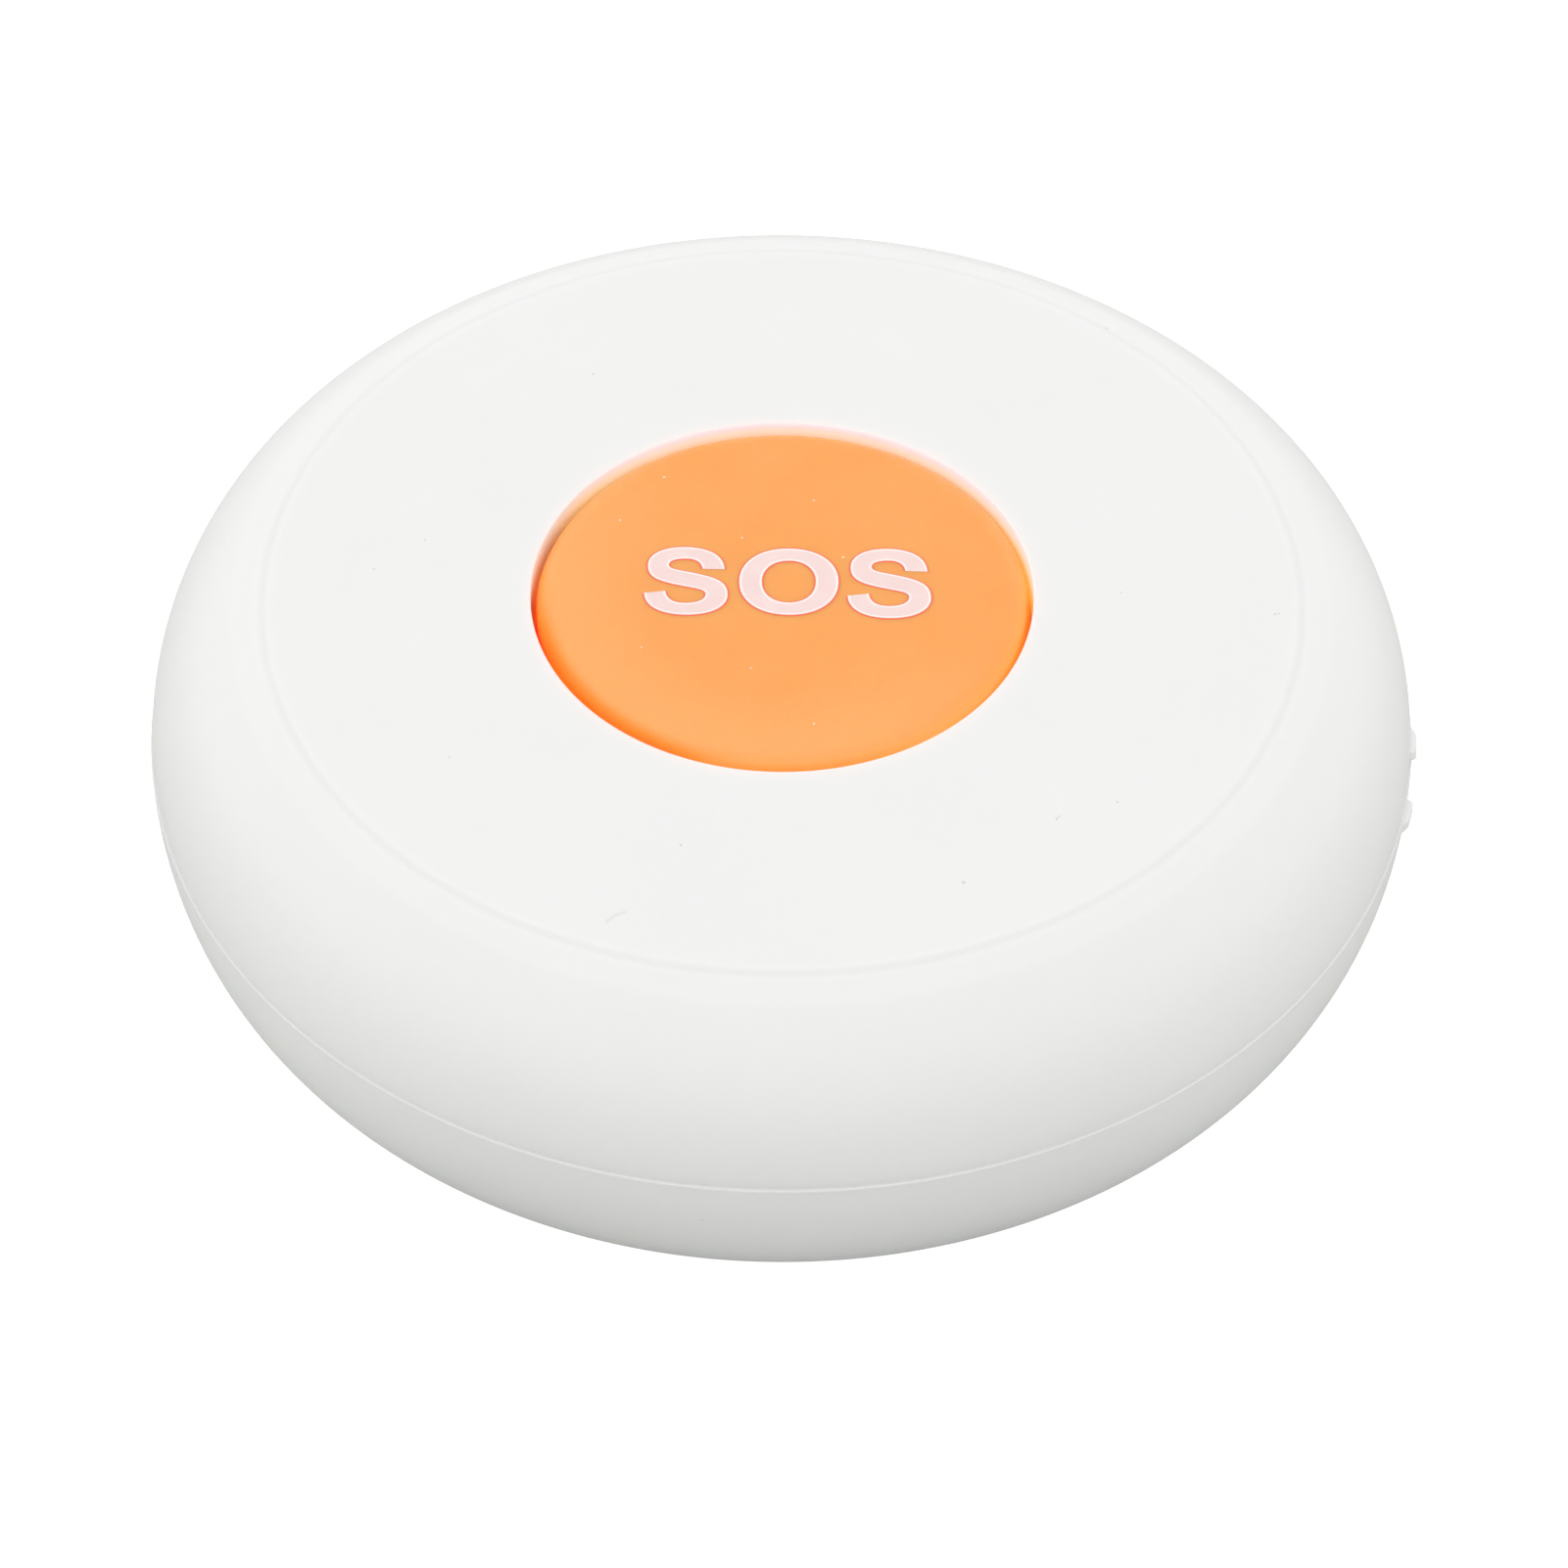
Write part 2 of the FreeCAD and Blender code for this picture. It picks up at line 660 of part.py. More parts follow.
def makeButtonCap():
    body = newBody("button_cap")
    section = sketchOn(body, "XZ_Plane", "Section")
    outline(section, [
        Corner(zero, capUnder),
        Corner(skirtInner, capUnder),
        Corner(skirtInner, flangeBottom),
        Corner(flangeRadius, flangeBottom),
        Corner(flangeRadius, flangeTop),
        Corner(capRadius, flangeTop),
        Corner(capRadius, capTop),
        Corner(zero, capTop),
    ])
    revolve(body, section)
    fillet(body, roundEdges(body.Tip.Shape, capRadius, capTop), size("capEdge"))
    # The post that pushes the switch, with four ribs at its root.
    post = sketchOn(body, "XY_Plane", "Post", lift=plungerTop + size("postPlay"))
    circle(post, zero, zero, size("postRadius"))
    pad(body, post, capUnder - plungerTop)
    half = size("postRibSpan") / 2
    side = size("ribThick") / 2
    for name, across, along in (("RibX", half, side), ("RibY", side, half)):
        rib = sketchOn(body, "XY_Plane", name, lift=plungerTop + size("postRibGap"))
        rectangle(rib, -across, across, -along, along)
        pad(body, rib, capUnder - plungerTop - size("postRibGap") + size("capRoof") / 4)
    # The cup that centres the spring, tied to the skirt by short ribs.
    cupInner = size("springRadius") + size("springWire")
    cup = sketchOn(body, "XY_Plane", "SpringCup", lift=capUnder - size("cupRise"))
    circle(cup, zero, zero, cupInner)
    circle(cup, zero, zero, cupInner + size("cupThick"))
    pad(body, cup, size("cupRise") + size("capRoof") / 4)
    web = sketchOn(body, "XY_Plane", "Web", lift=capUnder - size("cupRise"))
    rectangle(web, cupInner + size("cupThick") / 2, skirtInner + side, -side, side)
    around(body, [pad(body, web, size("cupRise") + size("capRoof") / 4)], size("floorRibCount"), True)
    # Notches in the flange pass the keys of the collar.
    notch = sketchOn(body, "XY_Plane", "KeyNotch", lift=flangeBottom)
    keySide = size("keyWidth") / 2 + size("keyPlay")
    rectangle(notch, -keySide, keySide, capRadius - size("keyPlay") / 2, flangeRadius + size("ribThick"))
    around(body, [pocket(body, notch, size("flangeThick"), True)], size("keyCount"), False)
    return body


def makeButtonSeal():
    """The soft ring on the flange, notched for the keys."""
    body = newBody("button_seal")
    ring = sketchOn(body, "XY_Plane", "Ring", lift=flangeTop)
    circle(ring, zero, zero, capRadius + size("sealPlay"))
    circle(ring, zero, zero, flangeRadius)
    pad(body, ring, size("sealThick"))
    notch = sketchOn(body, "XY_Plane", "KeyNotch", lift=flangeTop)
    keySide = size("keyWidth") / 2 + size("keyPlay")
    rectangle(notch, -keySide, keySide, size("boreRadius") + size("keyPlay") / 2,
              flangeRadius + size("ribThick"))
    around(body, [pocket(body, notch, size("sealThick"), True)], size("keyCount"), False)
    return body


def makeReturnSpring():
    """A round wire carried up a helix, between the board and the button's roof."""
    body = newBody("return_spring")
    wire = size("springWire") / 2
    lowest = boardTop + size("springPlay") + wire
    section = sketchOn(body, "XZ_Plane", "Wire")
    circle(section, size("springRadius"), lowest, wire)
    coil = body.newObject("PartDesign::AdditiveHelix", "Helix")
    coil.Profile = section
    coil.ReferenceAxis = (section, ["V_Axis"])
    coil.Mode = "pitch-height-angle"
    rise = capUnder - size("springPlay") - wire - lowest
    coil.Pitch = size("springPitch").value
    coil.Height = rise.value
    bind(coil, "Pitch", size("springPitch"))
    bind(coil, "Height", rise)
    body.Tip = coil
    doc.recompute()
    return body


def ring(label, inner, outer, bottom, height):
    """A plain flat ring, cut from two cylinders."""
    blank = doc.addObject("Part::Cylinder", label + "_blank")
    bind(blank, "Radius", outer)
    bind(blank, "Height", height)
    core = doc.addObject("Part::Cylinder", label + "_core")
    bind(core, "Radius", inner)
    bind(core, "Height", height)
    cut = doc.addObject("Part::Cut", label)
    cut.Label = label
    cut.Base = blank
    cut.Tool = core
    bind(cut, "Placement.Base.z", bottom)
    return cut


def makeScrews(label, shank, length, head, rise, upright, place, count):
    """A round-headed screw turned as one profile, with a crossed drive; place is where the first
    one's head sits, and the others stand evenly round the vertical axis."""
    body = newBody(label + "_one")
    side = -1 if upright else 1
    section = sketchOn(body, "XZ_Plane", "Section")
    # Drawn with the seat of the head at height 0 and the shank on the far side of the head.
    outline(section, [
        Corner(zero, -rise * side),
        Corner(head * 0.65, -rise * side),
        Corner(head, -rise * 0.45 * side),
        Corner(head, zero),
        Corner(shank, zero),
        Corner(shank, (length - shank) * side),
        Corner(shank * 0.4, length * side),
        Corner(zero, length * side),
    ])
    revolve(body, section)
    span = size("driveSpan") / 2 * (head / size("screwHead"))
    arm = size("driveWidth") / 2 * (head / size("screwHead"))
    depth = size("driveDepth") * (rise / size("screwHeadRise"))
    face = -rise * side
    for name, across, along in (("DriveX", span, arm), ("DriveY", arm, span)):
        drive = sketchOn(body, "XY_Plane", name, lift=face)
        rectangle(drive, -across, across, -along, along)
        pocket(body, drive, depth, not upright)
    copies = []
    upwardAxis = FreeCAD.Vector(0, 0, 1)
    for number in range(int(count.value)):
        turn = FreeCAD.Rotation(upwardAxis, 360.0 * number / int(count.value))
        copy = body.Shape.copy()
        copy.translate(turn.multVec(place))
        copies.append(copy)
    group = doc.addObject("Part::Feature", label)
    group.Label = label
    group.Shape = Part.makeCompound(copies)
    return group


def makeCircuitBoard():
    body = newBody("circuit_board")
    disc = sketchOn(body, "XY_Plane", "Disc", lift=boardBottom)
    circle(disc, zero, zero, size("boardRadius"))
    pad(body, disc, size("boardThick"))
    hole = sketchOn(body, "XY_Plane", "ScrewHole", lift=boardBottom)
    circle(hole, zero, -boardCircle, size("boardShank") + size("screwPlay"))
    around(body, [pocket(body, hole, size("boardThick"), True)], size("boardScrewCount"), False)
    # A flat on the edge shows which way round the board goes.
    flat = sketchOn(body, "XY_Plane", "EdgeFlat", lift=boardBottom)
    rectangle(flat, size("boardRadius") - size("boardThick"), size("boardRadius") + size("boardThick"),
              -size("chipLength"), size("chipLength"))
    pocket(body, flat, size("boardThick"), True)
    return body


def box(name, length, width, height):
    """A box centred on its own axis, standing on height 0."""
    item = doc.addObject("Part::Box", name)
    bind(item, "Length", length)
    bind(item, "Width", width)
    bind(item, "Height", height)
    bind(item, "Placement.Base.x", -length / 2)
    bind(item, "Placement.Base.y", -width / 2)
    return item


def fused(label, pieces):
    item = doc.addObject("Part::MultiFuse", label)
    item.Label = label
    item.Shapes = pieces
    return item


def makeSwitchBase():
    body = newBody("switch_base")
    half = size("switchWidth") / 2
    block = sketchOn(body, "XY_Plane", "Block", lift=boardTop)
    rectangle(block, -half, half, -half, half)
    pad(body, block, size("switchRise"))
    cavity = sketchOn(body, "XY_Plane", "Cavity", lift=switchTop)
    circle(cavity, zero, zero, size("switchCavity"))
    pocket(body, cavity, cavityDepth, False)
    # Four legs reach out over the board.
    legHalf = size("legWidth") / 2
    for name, side in (("LegsFront", -1), ("LegsBack", 1)):
        legs = sketchOn(body, "XY_Plane", name, lift=boardTop)
        y = size("legSpread") * side
        rectangle(legs, -half - size("legReach"), half + size("legReach"), y - legHalf, y + legHalf)
        pad(body, legs, size("legThick"))
    return body


def makeSwitchCover():
    """A pressed steel lid with a hole for the plunger and two clips folded down the sides."""
    body = newBody("switch_cover")
    half = size("switchWidth") / 2
    plate = sketchOn(body, "XY_Plane", "Plate", lift=switchTop)
    rectangle(plate, -half, half, -half, half)
    circle(plate, zero, zero, plungerHole)
    pad(body, plate, size("switchCover"))
    clip = sketchOn(body, "XY_Plane", "Clip", lift=boardTop + size("switchRise") / 2)
    clipHalf = size("switchWidth") / 4
    rectangle(clip, -clipHalf, clipHalf, half, half + size("switchCover"))
    drop = pad(body, clip, size("switchRise") / 2 + size("switchCover"))
    around(body, [drop], size("clipCount"), True)
    return body


def makeSwitchPlunger():
    body = newBody("switch_plunger")
    foot = size("plungerRadius") + size("plungerFlange")
    underside = switchTop - size("plungerPlay") - size("plungerFlangeThick")
    section = sketchOn(body, "XZ_Plane", "Section")
    outline(section, [
        Corner(zero, underside),
        Corner(foot, underside),
        Corner(foot, underside + size("plungerFlangeThick")),
        Corner(size("plungerRadius"), underside + size("plungerFlangeThick")),
        Corner(size("plungerRadius"), plungerTop),
        Corner(zero, plungerTop),
    ])
    revolve(body, section)
    return body


def makeSwitchDome():
    """The snap dome under the plunger, a thin disc dished like a low cone."""
    body = newBody("switch_dome")
    floor = switchTop - cavityDepth
    crown = switchTop - size("plungerPlay") * 2 - size("plungerFlangeThick") - floor
    reach = size("switchCavity") - size("plungerPlay")
    flat = size("plungerRadius") / 2
    section = sketchOn(body, "XZ_Plane", "Section")
    outline(section, [
        Corner(zero, floor + crown),
        Corner(flat, floor + crown),
        Corner(reach, floor),
        Corner(reach - size("domeThick") * 2, floor),
        Corner(flat, floor + crown - size("domeThick")),
        Corner(zero, floor + crown - size("domeThick")),
    ])
    revolve(body, section)
    return body


def makeCoinCell():
    body = newBody("coin_cell")
    capEdge = size("cellRadius") - size("cellCapInset")
    shoulder = cellTop - size("cellCapRise")
    section = sketchOn(body, "XZ_Plane", "Section")
    outline(section, [
        Corner(zero, cellBottom),
        Corner(size("cellRadius"), cellBottom),
        Corner(size("cellRadius"), shoulder),
        Corner(capEdge, shoulder),
        Corner(capEdge, cellTop),
        Corner(zero, cellTop),
    ])
    revolve(body, section)
    fillet(body, roundEdges(body.Tip.Shape, size("cellRadius"), cellBottom), size("cellEdge"))
    return body


def makePositiveContact():
    """A bent strip: soldered under the board, then down beside the cell, with a bow that presses on it."""
    body = newBody("positive_contact")
    thick = size("stripThick")
    inner = size("cellRadius") + size("partGap")
    stand = inner + size("stripThick") * 3
    middle = cellBottom + size("cellThick") / 2
    foot = cradleOuter + size("stripThick")
    section = sketchOn(body, "XZ_Plane", "Side")
    outline(section, [
        Corner(-foot, boardBottom),
        Corner(-foot, boardBottom - thick),
        Corner(-stand - thick, boardBottom - thick),
        Corner(-stand - thick, middle + size("stripGap")),
        Corner(-inner - thick, middle),
        Corner(-stand - thick, cellBottom + size("cellEdge")),
        Corner(-stand, cellBottom + size("cellEdge")),
        Corner(-inner, middle - size("partGap")),
        Corner(-inner, middle + size("partGap")),
        Corner(-stand, middle + size("stripGap")),
        Corner(-stand, boardBottom),
    ])
    pad(body, section, size("stripWidth"), midplane=True)
    return body


def makeNegativeContact():
    """A bowed strip under the board that presses on the top of the cell."""
    body = newBody("negative_contact")
    thick = size("stripThick")
    reach = size("stripWidth")
    lowest = cellTop + size("partGap")
    section = sketchOn(body, "XZ_Plane", "Side")
    outline(section, [
        Corner(-reach, boardBottom),
        Corner(-reach, boardBottom - thick),
        Corner(-reach / 2, boardBottom - thick),
        Corner(-size("legWidth"), lowest),
        Corner(size("legWidth"), lowest),
        Corner(reach / 2, boardBottom - thick),
        Corner(reach, boardBottom - thick),
        Corner(reach, boardBottom),
        Corner(reach / 2 - thick, boardBottom),
        Corner(size("legWidth") - thick, lowest + thick),
        Corner(-size("legWidth") + thick, lowest + thick),
        Corner(-reach / 2 + thick, boardBottom),
    ])
    pad(body, section, size("stripWidth"), midplane=True)
    return body


def makeBatteryDoor():
    body = newBody("battery_door")
    flangeTopZ = size("doorRecess") - size("doorTabPlay")
    disc = doorRadius - size("doorPlay")
    # The section: a wide disc in the recess, a plug through the hole, and a channel for the seal.
    ledgeMiddle = (size("doorRecess") + floorTop) / 2
    half = size("doorSealWire") / 2
    depth = size("doorHole") - size("plungerPlay") - size("doorSealWire")
    section = sketchOn(body, "XZ_Plane", "Section")
    outline(section, [
        Corner(zero, size("doorSink")),
        Corner(disc, size("doorSink")),
        Corner(disc, flangeTopZ),
        Corner(plugRadius, flangeTopZ),
        Corner(plugRadius, ledgeMiddle - half),
        Corner(depth, ledgeMiddle - half),
        Corner(depth, ledgeMiddle + half),
        Corner(plugRadius, ledgeMiddle + half),
        Corner(plugRadius, doorTop),
        Corner(zero, doorTop),
    ])
    revolve(body, section)
    # Tabs that turn in over the ledge.
    tab = sketchOn(body, "XY_Plane", "Tab", lift=floorTop + size("doorTabPlay"))
    tabSide = size("doorTabWidth") / 2
    rectangle(tab, plugRadius - size("doorTabReach"), size("doorHole") + size("doorTabReach"),
              -tabSide, tabSide)
    around(body, [pad(body, tab, size("doorTabThick"))], size("doorTabCount"), True)
    # A coin turns the door.
    slot = sketchOn(body, "XY_Plane", "CoinSlot", lift=size("doorSink"))
    rectangle(slot, -size("coinSlotLength") / 2, size("coinSlotLength") / 2,
              -size("coinSlotWidth") / 2, size("coinSlotWidth") / 2)
    pocket(body, slot, size("coinSlotDepth"), True)
    return body


def makeDoorSeal():
    item = doc.addObject("Part::Torus", "door_seal")
    item.Label = "door_seal"
    wire = size("doorSealWire") / 2 - size("partGap")
    bind(item, "Radius1", size("doorHole") - size("plungerPlay") - wire)
    bind(item, "Radius2", wire)
    bind(item, "Placement.Base.z", (size("doorRecess") + floorTop) / 2)
    return item


def onBoard(item, radius, angle):
    """Sets a part down on the board's upper face, at a radius and an angle from +X."""
    item.Placement.Rotation = FreeCAD.Rotation(FreeCAD.Vector(0, 0, 1), angle.value)
    bind(item, "Placement.Rotation.Angle", angle)
    item.setExpression("Placement.Base.x", "%s * cos(%s)" % (radius.text, angle.text))
    item.setExpression("Placement.Base.y", "%s * sin(%s)" % (radius.text, angle.text))
    bind(item, "Placement.Base.z", boardTop)
    return item


def makeControllerChip():
    package = box("chip_package", size("chipWidth"), size("chipLength"), size("chipRise"))
    pins = []
    pitch = size("chipLength") / 4
    for number in range(4):
        pin = box("chip_pin", size("chipWidth") + size("legReach") * 2, size("legWidth") / 2,
                  size("legThick"))
        bind(pin, "Placement.Base.y", pitch * (number - 1.5) - size("legWidth") / 4)
        pins.append(pin)
    return onBoard(fused("controller_chip", [package] + pins), size("innerRing"), size("chipAngle"))


def makeRadioChip():
    package = box("radio_package", size("radioWidth"), size("radioWidth"), size("radioRise"))
    chamfer = doc.addObject("Part::Chamfer", "radio_chip")
    chamfer.Label = "radio_chip"
    chamfer.Base = package
    doc.recompute()
    bevel = size("radioRise").value / 5
    upper = [number for number, edge in enumerate(package.Shape.Edges, start=1)
             if edge.BoundBox.ZMin > size("radioRise").value / 2]
    chamfer.Edges = [(number, bevel, bevel) for number in upper]
    return onBoard(chamfer, size("innerRing"), size("radioAngle"))


def makeCrystal():
    """A low metal can on a wider brim."""
    brim = box("crystal_brim", size("crystalWidth"), size("crystalLength"), size("crystalRise") / 4)
    can = box("crystal_can", size("crystalWidth") - size("legThick") * 2,
              size("crystalLength") - size("legThick") * 2, size("crystalRise"))
    return onBoard(fused("crystal", [brim, can]), size("outerRing"), size("crystalAngle"))


def makeStatusLamp():
    """A lamp in a square package, with a round lens on top."""
    package = box("lamp_package", size("lampWidth"), size("lampLength"), size("lampRise"))
    lens = doc.addObject("Part::Sphere", "lamp_lens")
    bind(lens, "Radius", size("lampLens"))
    bind(lens, "Placement.Base.z", size("lampRise") * 0.6)
    lens.Angle1 = 0
    return onBoard(fused("status_lamp", [package, lens]), size("innerRing"), size("lampAngle"))


def makeSmallParts(label, angle, share):
    """A row of small parts with plated ends, set side by side across the board's radius."""
    length = size("smallLength") * share
    width = size("smallWidth") * share
    rise = size("smallRise") * share
    pieces = []
    for number in range(int(size("smallCount").value)):
        piece = box(label + "_piece", length, width, rise)
        offset = size("smallPitch") * (number - (size("smallCount").value - 1) / 2)
        bind(piece, "Placement.Base.y", offset - width / 2)
        pieces.append(piece)
    group = doc.addObject("Part::Compound", label)
    group.Label = label
    group.Links = pieces
    return onBoard(group, size("outerRing"), angle)


def makeAntenna():
    """A wire coil that lies on the board, with its axis along the board's edge."""
    body = newBody("antenna")
    wire = size("coilWire") / 2
    section = sketchOn(body, "XZ_Plane", "Wire")
    circle(section, size("coilRadius"), wire, wire)
    coil = body.newObject("PartDesign::AdditiveHelix", "Helix")
    coil.Profile = section
    coil.ReferenceAxis = (section, ["V_Axis"])
    coil.Mode = "pitch-turns-angle"
    coil.Pitch = size("coilPitch").value
    coil.Turns = int(size("coilTurns").value)
    bind(coil, "Pitch", size("coilPitch"))
    bind(coil, "Turns", size("coilTurns"))
    body.Tip = coil
    doc.recompute()
    angle = size("antennaAngle").value
    reach = size("outerRing").value
    lying = FreeCAD.Rotation(FreeCAD.Vector(0, 0, 1), angle).multiply(
        FreeCAD.Rotation(FreeCAD.Vector(1, 0, 0), 90))
    half = size("coilPitch").value * size("coilTurns").value / 2
    centre = FreeCAD.Vector(reach, half, boardTop.value + size("coilRadius").value + wire.value)
    body.Placement = FreeCAD.Placement(
        FreeCAD.Rotation(FreeCAD.Vector(0, 0, 1), angle).multVec(centre), lying)
    return body


def makeAll():
    return [
        makeUpperShell(),
        makeLowerShell(),
        ring("case_gasket", tongueInner + size("gasketPlay"), tongueOuter - size("gasketPlay"),
             tongueTop, size("gasketThick")),
        makeScrews("case_screws", size("screwShank"), size("screwLength"), size("screwHead"),
                   size("screwHeadRise"), False,
                   FreeCAD.Vector(0, size("screwCircle").value, size("seatRise").value),
                   size("screwCount")),
        makeButtonCap(),
        makeButtonSeal(),
        makeReturnSpring(),
        makeCircuitBoard(),
        makeScrews("board_screws", size("boardShank"), size("boardScrewLength"), size("boardHead"),
                   size("boardHeadRise"), True, FreeCAD.Vector(0, -boardCircle.value, boardTop.value),
                   size("boardScrewCount")),
        makeSwitchBase(),
        makeSwitchCover(),
        makeSwitchPlunger(),
        makeSwitchDome(),
        makeCoinCell(),
        makePositiveContact(),
        makeNegativeContact(),
        makeBatteryDoor(),
        makeDoorSeal(),
        makeControllerChip(),
        makeRadioChip(),
        makeCrystal(),
        makeStatusLamp(),
        makeSmallParts("capacitors", size("capacitorAngle"), 1.0),
        makeSmallParts("resistors", size("resistorAngle"), 0.8),
        makeAntenna(),
    ]


subParts = makeAll()
doc.recompute()
for item in doc.Objects:
    if "Invalid" in item.State or "Error" in item.State:
        raise RuntimeError("%s failed: %s" % (item.Label, item.State))
for item in subParts:
    if item.Shape.isNull() or not item.Shape.isValid():
        raise RuntimeError("%s has no valid shape" % item.Label)
os.makedirs("parts", exist_ok=True)
for item in subParts:
    item.Shape.exportStep("parts/%s.step" % item.Label)
    print(item.Label, len(item.Shape.Solids), round(item.Shape.Volume, 2))
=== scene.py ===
import json
import math
import bpy
import bmesh
import numpy as np
from mathutils import Matrix, Vector


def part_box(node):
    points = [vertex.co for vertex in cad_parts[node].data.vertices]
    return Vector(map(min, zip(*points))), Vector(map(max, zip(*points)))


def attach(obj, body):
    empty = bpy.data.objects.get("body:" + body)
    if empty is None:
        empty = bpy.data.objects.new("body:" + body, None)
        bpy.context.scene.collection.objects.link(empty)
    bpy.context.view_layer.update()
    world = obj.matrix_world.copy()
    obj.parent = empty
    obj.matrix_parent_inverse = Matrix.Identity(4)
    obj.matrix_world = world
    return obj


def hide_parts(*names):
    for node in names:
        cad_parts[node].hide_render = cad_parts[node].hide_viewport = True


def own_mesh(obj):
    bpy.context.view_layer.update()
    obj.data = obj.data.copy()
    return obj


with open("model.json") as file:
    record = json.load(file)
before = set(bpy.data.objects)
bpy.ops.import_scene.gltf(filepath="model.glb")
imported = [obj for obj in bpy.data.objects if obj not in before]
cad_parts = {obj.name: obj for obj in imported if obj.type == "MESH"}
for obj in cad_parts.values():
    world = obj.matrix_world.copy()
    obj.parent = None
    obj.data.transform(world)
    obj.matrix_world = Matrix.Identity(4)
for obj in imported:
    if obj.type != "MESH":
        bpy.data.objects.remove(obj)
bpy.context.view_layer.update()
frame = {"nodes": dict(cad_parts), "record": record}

mm = 0.001
sharpAngle = 35.0              # edges turned by more degrees than this are drawn sharp
plasticBend = 1.49             # how strongly the plastics bend light
print("stage: frame loaded,", len(frame["nodes"]), "nodes")


# Surfaces

def gridFaces(rows, columns, closeRows=False, closeColumns=False):
    # quads between neighbouring grid points; a closed direction joins its last row to its first
    r = np.arange(rows if closeRows else rows - 1)
    c = np.arange(columns if closeColumns else columns - 1)
    r, c = np.meshgrid(r, c, indexing="ij")
    r2, c2 = (r + 1) % rows, (c + 1) % columns
    faces = np.stack([r * columns + c, r * columns + c2, r2 * columns + c2, r2 * columns + c], axis=-1)
    return faces.reshape(-1, 4)


def meshObject(name, points, faces, sharp=sharpAngle, weld=1e-7):
    mesh = bpy.data.meshes.new(name)
    mesh.from_pydata(points.reshape(-1, 3).tolist(), [], list(faces))
    tidy = bmesh.new()
    tidy.from_mesh(mesh)
    bmesh.ops.remove_doubles(tidy, verts=tidy.verts, dist=weld)   # closes poles and seams
    bmesh.ops.dissolve_degenerate(tidy, edges=tidy.edges, dist=weld)
    bmesh.ops.recalc_face_normals(tidy, faces=tidy.faces)
    tidy.to_mesh(mesh)
    tidy.free()
    mesh.update()
    smoothed(mesh, sharp)
    piece = bpy.data.objects.new(name, mesh)
    bpy.context.scene.collection.objects.link(piece)
    return piece


def smoothed(mesh, sharp=sharpAngle):
    mesh.shade_smooth()
    mesh.set_sharp_from_angle(angle=math.radians(sharp))


def joined(*stretches):
    # one outline of single points and runs of points
    return np.concatenate([np.atleast_2d(stretch) for stretch in stretches])


def straight(start, end, steps):
    # points on a straight run, both ends included
    t = np.linspace(0, 1, steps)[:, None]
    return np.array(start) * (1 - t) + np.array(end) * t


def ellipseRun(centre, across, upward, fromAngle, toAngle, steps):
    # centre + (across * cos a, upward * sin a) for angles a in degrees
    a = np.radians(np.linspace(fromAngle, toAngle, steps))
    return np.stack([centre[0] + across * np.cos(a), centre[1] + upward * np.sin(a)], axis=1)


def rounded(corners, radii, steps=6):
    # an outline with each corner replaced by an arc that touches both of its edges;
    # a radius of 0 keeps the corner, and the outline is closed
    corners = np.array(corners, float)
    out = []
    for number, corner in enumerate(corners):
        before = corners[number - 1] - corner
        after = corners[(number + 1) % len(corners)] - corner
        radius = radii[number]
        if radius == 0:
            out.append(corner[None, :])
            continue
        before = before / np.linalg.norm(before)
        after = after / np.linalg.norm(after)
        half = math.acos(float(np.clip(before @ after, -1, 1))) / 2
        reach = radius / math.tan(half)
        middle = (before + after) / np.linalg.norm(before + after)
        centre = corner + middle * radius / math.sin(half)
        first = corner + before * reach - centre
        last = corner + after * reach - centre
        sweep = math.atan2(first[0] * last[1] - first[1] * last[0], float(first @ last))
        a = np.linspace(0, sweep, steps)
        c, s = np.cos(a), np.sin(a)
        arc = np.stack([first[0] * c - first[1] * s, first[0] * s + first[1] * c], axis=1)
        out.append(centre + arc)
    return np.concatenate(out)


def turnedShape(outline, segments=192, closed=True):
    # point(i, j) = (r_i * cos a_j, r_i * sin a_j, z_i): the outline carried round the vertical axis
    a = np.arange(segments) * 2 * math.pi / segments
    r, z = outline[:, 0:1], outline[:, 1:2]
    points = np.stack([r * np.cos(a), r * np.sin(a), z + 0 * a], axis=-1).reshape(-1, 3)
    return points, gridFaces(len(outline), segments, closed, True).tolist()


def planeTurn(angle):
    # turns rows of x and y by an angle in degrees when they are multiplied by it
    a = math.radians(angle)
    return np.array([[math.cos(a), math.sin(a)], [-math.sin(a), math.cos(a)]])


def prismShape(outline, low, high):
    # the flat outline at two heights, with its walls and both ends
    outline = np.array(outline, float)
    count = len(outline)
    points = np.concatenate([np.column_stack([outline, np.full(count, z)]) for z in (low, high)])
    ends = [list(range(count))[::-1], list(range(count, 2 * count))]
    return points, gridFaces(2, count, False, True).tolist() + ends


def boxShape(left, right, near, far, low, high):
    return prismShape([(left, near), (right, near), (right, far), (left, far)], low, high)


def postShape(distance, radius, low, high, steps=40):
    # a round post whose middle stands on +X
    a = np.arange(steps) * 2 * math.pi / steps
    return prismShape(np.stack([distance + radius * np.cos(a), radius * np.sin(a)], axis=1), low, high)


def around(shape, firstAngle=0.0, count=1):
    # the shape turned about the vertical axis to the first angle, and repeated evenly
    source, loops = shape
    points, faces = [], []
    for number in range(count):
        turn = np.eye(3)
        turn[:2, :2] = planeTurn(firstAngle + 360.0 * number / count)
        points.append(source @ turn)
        faces += [[index + number * len(source) for index in loop] for loop in loops]
    return np.concatenate(points), faces


def solid(name, *shapes):
    # one object of several closed shapes, given in millimetres
    points, faces, start = [], [], 0
    for shapePoints, shapeFaces in shapes:
        points.append(shapePoints)
        faces += [[index + start for index in loop] for loop in shapeFaces]
        start += len(shapePoints)
    return meshObject(name, np.concatenate(points) * mm, faces)


